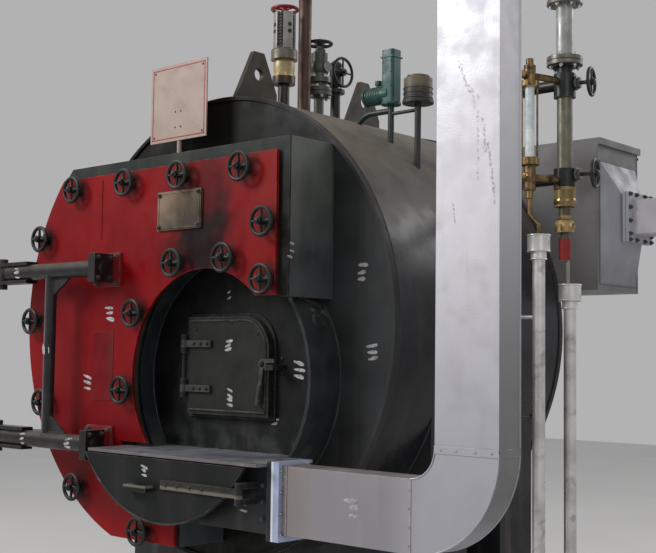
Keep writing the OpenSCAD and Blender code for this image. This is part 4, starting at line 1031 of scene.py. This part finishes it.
def make_arm_welds():
    """Beads, end discs and flange nuts of the door's arms."""
    form = Form()
    for z, end in zip(ARM_Z, ARM_END):
        form.weld(ring_round((end - FLANGE_L - 2, ARM_Y, z), X, ARM_R + 1), 5, X, True)
        form.weld(ring_round((ARM_ROOT + 1, ARM_Y, z), X, ARM_R + 1), 4.5, X, True)
        inward = -1 if z > 0 else 1
        joint = [(x, y, z + inward * math.sqrt(ARM_R ** 2 - (y - ARM_Y) ** 2))
                 for x, y, _ in ring_round((BRACE_X, ARM_Y, z), Z, BRACE_R + 2)]
        form.weld(joint, 4.5, Z, True)
        seam = z + inward * (ARM_R + 1)
        for y in (ARM_Y - 7, ARM_Y + 7):
            form.weld(line((BRACE_X + BRACE_R, y, seam), (-545, y, seam)), 3.5)
        form.turned((end, ARM_Y, z), X, [(0, 30), (5, 30), (7, 27)], 28)
        for dy, dz in product((-32, 32), (-44, 44)):
            form.nut((end, ARM_Y + dy, z + dz), X, 6)
    form.piece("arm_details", "door", "black_iron", looks["hinge_arm_upper"])


def make_arm(name, z, end):
    """Round arm with a fork at its left end and a square flange at its right end."""
    form = Form()
    form.disc((ARM_ROOT, ARM_Y, z), X, ARM_R, end - FLANGE_L - ARM_ROOT + 1, 64)
    form.box((end - FLANGE_L, ARM_Y - 50, z - FLANGE_SIDE / 2), (FLANGE_L, 100, FLANGE_SIDE))
    for low in (ARM_R - 2, 2 - ARM_R - FORK_T):
        form.eye((HINGE_X, ARM_Y, z + low), FORK_L, PIN_EYE_R, PIN_R, FORK_T)
    piece = form.piece("arm_" + name, "door", "black_iron", looks["hinge_arm_upper"])
    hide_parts("hinge_arm_" + name)


def make_brace():
    """Upright tube between the arms, with its gussets."""
    form = Form()
    low, high = ARM_Z[1] + ARM_R / 2, ARM_Z[0] - ARM_R / 2
    form.disc((BRACE_X, ARM_Y, low), Z, BRACE_R, high - low, 48)
    x = BRACE_X + BRACE_R - 3
    for z, way in ((ARM_Z[0] - ARM_R + 4, -1), (ARM_Z[1] + ARM_R - 4, 1)):
        form.plate([(x, z), (x + 118, z), (x + 110, z + way * 10), (x, z + way * 78)], ARM_Y - 6, 12)
        form.weld(line((x + 5, ARM_Y - 7, z + way * 8), (x + 5, ARM_Y - 7, z + way * 72)), 3.5)
    piece = form.piece("brace_tube", "door", "black_iron", looks["hinge_brace"])
    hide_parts("hinge_brace")


# Smokebox door: pads, cover and patch plate

def make_door_details():
    """Nuts of the arm pads and the cover, the patch plate with its welds, and the cover's rim."""
    bolts = Form()
    for z, end in zip(ARM_Z, ARM_END):
        for dx, dz in product((-174, -34), (-56, 56)):
            bolts.nut((end + dx, DOOR_Y - 12, z + dz), -Y, 7)
    for dx, dz in product((14, 256), (14, 150)):
        bolts.nut((COVER_X + dx, DOOR_Y - 10, COVER_Z + dz), -Y, 5)
    bolts.piece("door_bolts", "door", "black_iron", bolt_steel)
    patch = Form()
    left, foot = PATCH_LOW
    patch.box((left + 1, DOOR_Y - 2.5, foot + 1), (141, 4, 297), 1.2)
    patch.weld(line((-466, DOOR_Y, 380), (-466, DOOR_Y, 650)), 3.5, ripple=0.25)
    for start, end in rectangle(PATCH_LOW, PATCH_HIGH):
        patch.weld(line((start[0], DOOR_Y, start[1]), (end[0], DOOR_Y, end[1])), 3, ripple=0.25)
    patch.piece("door_patch", "door", "door_red", red_weld)
    rim = Form()
    rim_x, rim_z = COVER_X + 6, COVER_Z + 6
    for dz in (0, 147):
        rim.box((rim_x, DOOR_Y - 12.5, rim_z + dz), (258, 3, 5), 1.0)
    for dx in (0, 253):
        rim.box((rim_x + dx, DOOR_Y - 12.5, rim_z + 5), (5, 3, 142), 1.0)
    rim.piece("cover_rim", "door", "cover_beige", looks["inspection_cover"])


# Fire door and ash pit

def make_fire_door():
    """Rivets and raised rim of the fire door, and the rivets of its frame."""
    form = Form()
    for x, z in product((34, 74, 114), (-80, -268)):
        form.dome((x, FIRE_STRAP_Y, z), -Y, 8)
    form.dome((444, FIRE_STRAP_Y - 5, -160), -Y, 13)
    for x, z in ((30, -20), (250, 10), (402, -40), (444, -330), (30, -350), (250, -352)):
        form.dome((x, FIRE_DOOR_Y, z), -Y, 7)
    foot, right, top = -357, 448, 15
    for path in (line((0, FIRE_DOOR_Y, foot), (right, FIRE_DOOR_Y, foot)),
                 line((right, FIRE_DOOR_Y, foot), (right, FIRE_DOOR_Y, -116)),
                 arc(325, -108, 123, FIRE_DOOR_Y, 0, 90),
                 line((325, FIRE_DOOR_Y, top), (0, FIRE_DOOR_Y, top))):
        form.tube(path, 5, Y, 8)
    form.piece("fire_door_details", "fire_door", "dark_steel", looks["fire_door"])
    bolts = Form()
    for x, z in ((-22, -170), (150, 38), (330, 36), (470, -260), (150, -380), (330, -380), (468, -60)):
        bolts.dome((x, FURNACE_PLATE_Y - 10, z), -Y, 6)
    for z in (-140, -195):
        bolts.dome((505, FURNACE_PLATE_Y, z), -Y, 9)
    bolts.piece("fire_frame_bolts", "boiler", "dark_steel", looks["fire_door_frame"])


def make_ash_details():
    """Strap rivets and rim of the ash door, and the nuts beside the duct's flange."""
    form = Form()
    for x in (262, 330, 400, 470):
        form.dome((x, ASH_STRAP_Y, ASH_STRAP_Z), -Y, 8)
    form.tube(arc(FURNACE_X, FURNACE_Z, 566, ASH_DOOR_Y, 215, 325), 4, Y, 8)
    form.piece("ash_door_rivets", "ash_door", "dark_steel", looks["ash_door"])
    box = Form()
    for z in (-600, -660, -720):
        box.nut((705, DUCT_Y, z), -Y, 5)
    box.piece("ash_box_bolts", "boiler", "dark_steel", bolt_steel)


# Air duct

def make_duct_details():
    """Bands and folded seams of the duct, with its screws and flange nuts."""
    form = Form()
    back, right = DUCT_Y + DUCT_D, RISER_LEFT + DUCT_H
    form.band("z", BEND_Z - 12, 26, (RISER_LEFT, DUCT_Y), (right, back), 2.5)
    for x, width, thick in ((BEND_X - 5, 12, 2), (DUCT_X + 1, 22, 2.5)):
        form.band("x", x, width, (DUCT_Y, DUCT_LOW), (back, DUCT_LOW + DUCT_H), thick)
    for y in (DUCT_Y, back):
        for edge, radius in ((right, 3.5), (RISER_LEFT, 3.0)):
            form.tube(arc(BEND_X, BEND_Z, edge - BEND_X, y, -90, 0), radius, Y, 8)
    form.tube(line((right, back, BEND_Z), (right, back, DUCT_TOP - 8), 100), 3.5, X, 8)
    form.piece("duct_seams", "boiler", "duct_sheet", looks["duct_riser"])
    screws = Form()
    for x in (1500, 1560, 1634, 1694):
        screws.dome((x, DUCT_Y - 2.5, BEND_Z + 1), -Y, 4)
    for z in (-560, -620, -680, -740):
        screws.dome((BEND_X + 1, DUCT_Y - 2, z), -Y, 3.5)
        screws.dome((DUCT_X + 12, DUCT_Y - 2.5, z), -Y, 3.5)
    for y, z in product((DUCT_Y - 12, back + 12), (-540, -616, -692, -766)):
        screws.nut((DUCT_X, y, z), X, 3)
    for x, y in product((1464, 1530, 1597, 1664, 1730), (DUCT_Y - 14, back + 14)):
        screws.nut((x, y, DUCT_TOP), Z, 4.5)
    screws.piece("duct_fasteners", "boiler", "grey_steel", bright_bolt)


# Sign plate

def make_sign_details():
    """Painted border of the sign plate, with the rivets, clips and foot nuts that hold it."""
    inset, wide = 12, 5
    across, upright = SIGN_W - 2 * inset, SIGN_H - 2 * inset
    border = Form()
    for x, z, w, h in ((inset, inset, across, wide), (inset, SIGN_H - inset - wide, across, wide),
                       (inset, inset, wide, upright), (SIGN_W - inset - wide, inset, wide, upright)):
        border.box((SIGN_X + x, SIGN_Y - 0.8, SIGN_Z + z), (w, 1.2, h), 0.3)
    red_paint = painted("sign_red", srgb(150, 44, 40), dust=0.0, edge=0.0, soft_edge=0.0)
    border.piece("sign_border", "boiler", "sign", red_paint)
    fixings = Form()
    for x, z in product((26, SIGN_W - 26), (26, SIGN_H - 26)):
        fixings.dome((SIGN_X + x, SIGN_Y, SIGN_Z + z), -Y, 5)
    rod_x, rod_y = SIGN_ROD
    for z in (SIGN_Z + 60, SIGN_Z + 130):
        fixings.box((rod_x - 26, rod_y - 5, z - 9), (52, 18, 18), 2)
        for dx in (-18, 18):
            fixings.dome((rod_x + dx, SIGN_Y, z), -Y, 4.5)
    for dx, dy in product((-28, 28), (-28, 28)):
        fixings.nut((rod_x + dx, rod_y + dy, 730), Z, 5)
    fixings.piece("sign_fixings", "boiler", "sign", bolt_steel)


# Fittings on the shell's top

def on_top(y, height):
    """Place over the middle of the shell's top."""
    return (0, y, SHELL_R + height)


def make_top_details():
    """Nuts, collars, coils and ribs of the safety valve, and studs and yoke of the other valves."""
    dark = Form()
    dark.nut_circle(on_top(SAFETY_Y, 177), Z, 47, 6, 4)
    dark.nut_circle(on_top(SAFETY_Y, 300), Z, 53, 6, 4)
    dark.nut_circle(on_top(STEAM_Y, 24), Z, 47, 6, 5)
    dark.turned(on_top(SAFETY_Y, 178), Z, [(0, 47), (14, 46), (30, 50), (60, 50), (76, 45)], 32)
    dark.turned(on_top(SAFETY_Y, 258), Z, [(0, 58), (4, 61), (12, 61), (16, 58)], 36)
    dark.turned(on_top(SAFETY_Y, 279), Z, [(0, 57), (4, 60), (12, 60), (22, 52), (30, 50)], 36)
    dark.tube([on_top(SAFETY_Y, 488), on_top(SAFETY_Y, 520)], 7, Y, 12)
    for i in range(11):
        dark.tube(ring_round(on_top(SAFETY_Y, 318 + 15 * i), Z, 42.5), 3.2, Z, 8, True)
    dark.piece("safety_valve_bolts", "boiler", "brass", looks["safety_valve"])
    silver = Form()
    silver.nut_circle(on_top(STOP_Y, 170), Z, 51, 6, 5, 0.3)
    silver.nut_circle(on_top(STOP_Y, 131), -Z, 51, 6, 5, 0.3)
    silver.nut_circle(on_top(STOP_Y, 218), Z, 50, 6, 5)
    silver.nut(on_top(STOP_Y, 396), Z, 7)
    silver.nut_circle(on_top(FEED_Y, 183), Z, 38, 4, 4, 0.4)
    silver.piece("valve_studs", "boiler", "grey_steel", bright_bolt)
    iron = Form()
    low, high = SHELL_R + 318, SHELL_R + 366
    for side in (-1, 1):
        pillar = [(side * x, STOP_Y, z) for x, z in ((32, low), (32, high - 14), (12, high))]
        iron.tube(pillar, 5.5, Y, 10)
    iron.turned((0, STOP_Y, high - 8), Z, [(0, 14), (16, 14), (19, 11)])
    iron.turned(on_top(STOP_Y, 338), Z, [(0, 30), (8, 30), (10, 22), (24, 20)], 6)
    iron.disc((44, STOP_Y, SHELL_R + 270), X, 26, 10, 24)
    iron.turned(on_top(FEED_Y, 300), Z, [(0, 34), (12, 34), (20, 24), (30, 12)], 8)
    iron.disc((28, FEED_Y, SHELL_R + 265), X, 18, 8, 6)
    iron.piece("valve_yokes", "boiler", "dark_steel", looks["stop_valve"])
    ribs, vents = Form(), Form()
    for turn in (-26, 64, 154, 244):
        ribs.shield((0, SAFETY_Y), (41, 52), (SHELL_R + 305, SHELL_R + 484), turn - 27, turn + 27)
        out = Vector((math.cos(math.radians(turn + 8)), math.sin(math.radians(turn + 8)), 0))
        for height in (388, 420):
            vents.turned(Vector(on_top(SAFETY_Y, height)) + out * 50, out, [(0, 10), (3, 10), (3.5, 8)], 16)
    bonnet_grey = bare_metal("bonnet_grey", srgb(150, 146, 138), 0.45, 0.1, 0.4)
    ribs.piece("bonnet_ribs", "boiler", "brass", bonnet_grey)
    vent_dark = bare_metal("vent_dark", srgb(44, 44, 46), 0.5, 0.0, 0.3)
    vents.piece("bonnet_vents", "boiler", "brass", vent_dark)


# Level controller

def make_level_details():
    """Lid band and screws of the controller's box, coils of its pipe, and rings and nuts of its motor."""
    form = Form()
    low_x, low_y = BOX_X - BOX_SIDE / 2, LEVEL_Y - BOX_SIDE / 2
    form.band("z", 1188, 6, (low_x, low_y), (low_x + BOX_SIDE, low_y + BOX_SIDE), 3)
    for dx, dy in product((10, 55), (10, 55)):
        form.dome((low_x + dx, low_y + dy, 1223), Z, 4)
    for dx, z in product((12, 53), (1000, 1060, 1120, 1170)):
        form.dome((low_x + dx, low_y, z), -Y, 3.5)
    for i in range(6):
        form.tube(ring_round((452 + 14 * i, LEVEL_Y, 1030), X, 38.5), 2.5, X, 6, True)
    form.piece("controller_details", "boiler", "teal_box", looks["level_controller"])
    motor = Form()
    for z in (986, 1008, 1030):
        motor.tube(ring_round((MOTOR_X, LEVEL_Y, z), Z, 62.5), 2.5, Z, 8, True)
    motor.turned((MOTOR_X, LEVEL_Y, 1085), Z, [(0, 40), (3, 40), (5, 36)], 32)
    motor.nut_circle((MOTOR_X, LEVEL_Y, 1073), Z, 56, 4, 3.5, 0.6)
    motor.piece("motor_details", "boiler", "teal_box", looks["level_controller"])


# Water column and gauge glass

def make_column_details():
    """Studs, brass collars, cocks and iron unions of the column, and the rings of the standpipe cups."""
    form = Form()
    form.nut_circle((*COLUMN, 1110), Z, 55, 6, 5)
    form.nut_circle((*COLUMN, 1075), -Z, 55, 6, 5)
    form.nut_circle((*COLUMN, 1330), -Z, 55, 6, 5, 0.3)
    form.piece("column_studs", "boiler", "grey_steel", bright_bolt)
    brass = Form()
    brass.turned((*COLUMN, 390), Z, [(0, 37), (4, 40), (38, 40), (42, 37)], 6)
    brass.turned((*COLUMN, 500), Z, [(0, 43), (6, 46), (20, 46), (26, 43)], 28)
    brass.turned((*COLUMN, 560), Z, [(0, 43), (5, 45), (12, 45)], 28)
    brass.turned((*COLUMN, 440), Z, [(0, 27), (8, 29), (16, 27)], 8)
    brass.turned((COLUMN[0] + 27, COLUMN[1], 411), X, [(0, 12), (16, 12), (20, 9)], 6)
    for z in (647, 962):
        brass.disc((*GAUGE, z), Z, 39, 22, 6)
    for z in (600, 1010):
        brass.turned((*GAUGE, z), (-0.29, -0.96, 0), [(0, 17), (40, 17), (48, 12)], 16)
        brass.turned((GAUGE[0], GAUGE[1] - 24, z), -Y, [(0, 13), (20, 13), (22, 10)], 6)
    brass.piece("column_brass", "boiler", "brass", bare_metal("column_brass", srgb(160, 136, 92), 0.30, 0.15))
    iron = Form()
    way = Vector((math.cos(math.radians(14)), math.sin(math.radians(14)), 0))
    for z, length in ((1000, 110), (624, 125)):
        middle = Vector((*COLUMN, z))
        iron.turned(middle + way * 46, way, [(0, 30), (8, 30), (10, 24), (20, 24)], 8)
        iron.thread(middle + way * (length - 44), way, 30, 8.8, 3.5)
        iron.turned(middle + way * (length + 11), way, [(0, 11), (6, 11), (8, 8)], 6)
    for z in (610, 1000):
        iron.tube(ring_round((1120, COLUMN[1], z), X, 25), 6, X, 6, True)
        iron.disc((1085, COLUMN[1], z), X, 30, 44, 8)
    iron.piece("column_iron", "boiler", "dark_steel", looks["stop_valve"])
    cups = Form()
    for x, y, top in STANDPIPES:
        for drop, radius, bead, sides in ((2, 44, 4, 10), (64, 44, 3.5, 10), (96, 31, 3, 8)):
            cups.tube(ring_round((x, y, top - drop), Z, radius), bead, Z, sides, True)
        for i in range(3):
            turn = i * THIRD_TURN
            cups.nut((x + 46 * math.cos(turn), y + 46 * math.sin(turn), PIPE_FOOT), Z, 4)
    cups.piece("standpipe_details", "boiler", "pipe_steel", looks["drain_standpipes"])


# Rear smokebox, flue and saddles

def make_rear_details():
    """Rivets of the rear box, nuts of its flue, seams of box and hood, and foot bolts of the saddles."""
    form = Form()
    for x in range(-640, 1190, 140):
        form.dome((x, REAR_BACK, 826), Y, 7)
    for x, z in product((-640, 1146), (240, 420, 600, 780)):
        form.dome((x, REAR_BACK, z), Y, 7)
    for y, z in product((1310, 1370, 1450, 1510), (620, 414)):
        form.nut((FLUE_X, y, z), X, 5)
    for y, z in product((1310, 1512), (440, 500, 560)):
        form.nut((FLUE_X, y, z), X, 5)
    form.piece("rear_fasteners", "boiler", "grey_steel", bolt_steel)
    seams = Form()
    low, high = REAR_HEIGHTS
    for x in REAR_SIDES:
        for y in (REAR_BACK, REAR_FRONT):
            seams.weld(line((x, y, low), (x, y, high)), 4, X)
    for start, end in rectangle(HOOD_LOW, HOOD_HIGH):
        seams.weld(line((HOOD_X, start[1], start[0]), (HOOD_X, end[1], end[0])), 4, X)
    seams.piece("rear_seams", "boiler", "grey_steel", looks["rear_smokebox"])
    feet = Form()
    for y, x, dy in product((455, 955), (-820, -300, 300, 820), (-85, 85)):
        feet.nut((x, y + dy, SADDLE_FOOT), Z, 11)
    feet.piece("saddle_bolts", "boiler", "shell_paint", bolt_steel)


# The order of these calls is the order of the random draws
make_clamps()
make_welds()
make_arm_welds()
for name, z, end in zip(("upper", "lower"), ARM_Z, ARM_END):
    make_arm(name, z, end)
make_brace()
make_door_details()
make_fire_door()
make_ash_details()
make_duct_details()
make_sign_details()
make_top_details()
make_level_details()
make_column_details()
make_rear_details()


# Chalk and rubbed marks

CHALK_LIFT = 0.6
CHALK_POINTS = 9

# Strokes, length and pitch of the marks on the arms and the brace
ON_BAR = (3, 44, 18)


def chalk(form, place, normal, across, strokes=3, length=56.0, pitch=25.0, bend=0.0):
    """Few short smears, one above the other, that follow a face or a round bar of radius bend."""
    up = normal.cross(across)
    slope = random.uniform(-0.3, 0.3)
    for i in range(strokes):
        rise = (i - (strokes - 1) / 2) * pitch + random.uniform(-3, 3)
        reach = length * random.uniform(0.65, 1.1)
        shift = random.uniform(-7, 7)
        tilt = slope + random.uniform(-0.15, 0.15)
        broad = random.uniform(0.7, 1.2)
        points, widths = [], []
        for j in range(CHALK_POINTS):
            part = j / (CHALK_POINTS - 1)
            along = (part - 0.5) * reach
            height = rise + tilt * along
            if bend:
                turn = height / bend
                off = (normal * math.cos(turn) + up * math.sin(turn)) * (bend + CHALK_LIFT)
            else:
                off = up * height + normal * CHALK_LIFT
            points.append(at(*(Vector(place) + across * (along + shift) + off)))
            swell = math.sin(math.pi * (j + 0.3) / CHALK_POINTS) ** 0.6 * (0.55 + 0.45 * part)
            widths.append((1.5 + 0.33 * length * broad * swell * random.uniform(0.85, 1.1)) * MM)
        form.ribbon(points, widths, up)


# Marks by body: [place, normal, direction], then strokes, length, pitch and the radius of a bar if need be
CHALK = {
    "boiler": (((830, 0, 202), -Y, X), ((879, 0, -108), -Y, X), ((601, FURNACE_PLATE_Y, -182), -Y, X),
               ((189, FURNACE_PLATE_Y, 124), -Y, X, 2, 30, 28),
               ((474, FURNACE_PLATE_Y, -390), -Y, X, 2, 34, 20),
               ((SMOKEBOX_RIGHT, -240, 276), X, Y, 3, 34, 26), ((1128, DUCT_Y, -640), -Y, X),
               ((600, DUCT_Y, -688), -Y, X, 2, 40, 20)),
    "door": (((-393, DOOR_Y, 51), -Y, X), ((-538, DOOR_Y, -255), -Y, X),
             ((-912, ARM_Y, ARM_Z[0]), -Y, X, *ON_BAR, ARM_R),
             ((-822, ARM_Y, ARM_Z[1]), -Y, X, *ON_BAR, ARM_R),
             ((-480, ARM_Y, ARM_Z[1]), -Y, X, *ON_BAR, ARM_R),
             ((BRACE_X, ARM_Y, -115), -Y, Z, *ON_BAR, BRACE_R)),
    "fire_door": (((234, FIRE_DOOR_Y, -85), -Y, X, 3, 46, 18), ((247, FIRE_DOOR_Y, -300), -Y, X, 4, 46, 20)),
    "ash_door": (((120, ASH_DOOR_Y, -585), -Y, X, 3, 40, 18),),
}
chalk_white = chalk_look()
for body, marks in CHALK.items():
    form = Form()
    for mark in marks:
        chalk(form, *mark)
    form.piece("chalk_" + body, body, "cover_beige", chalk_white)

bpy.context.scene.view_settings.view_transform = "Standard"
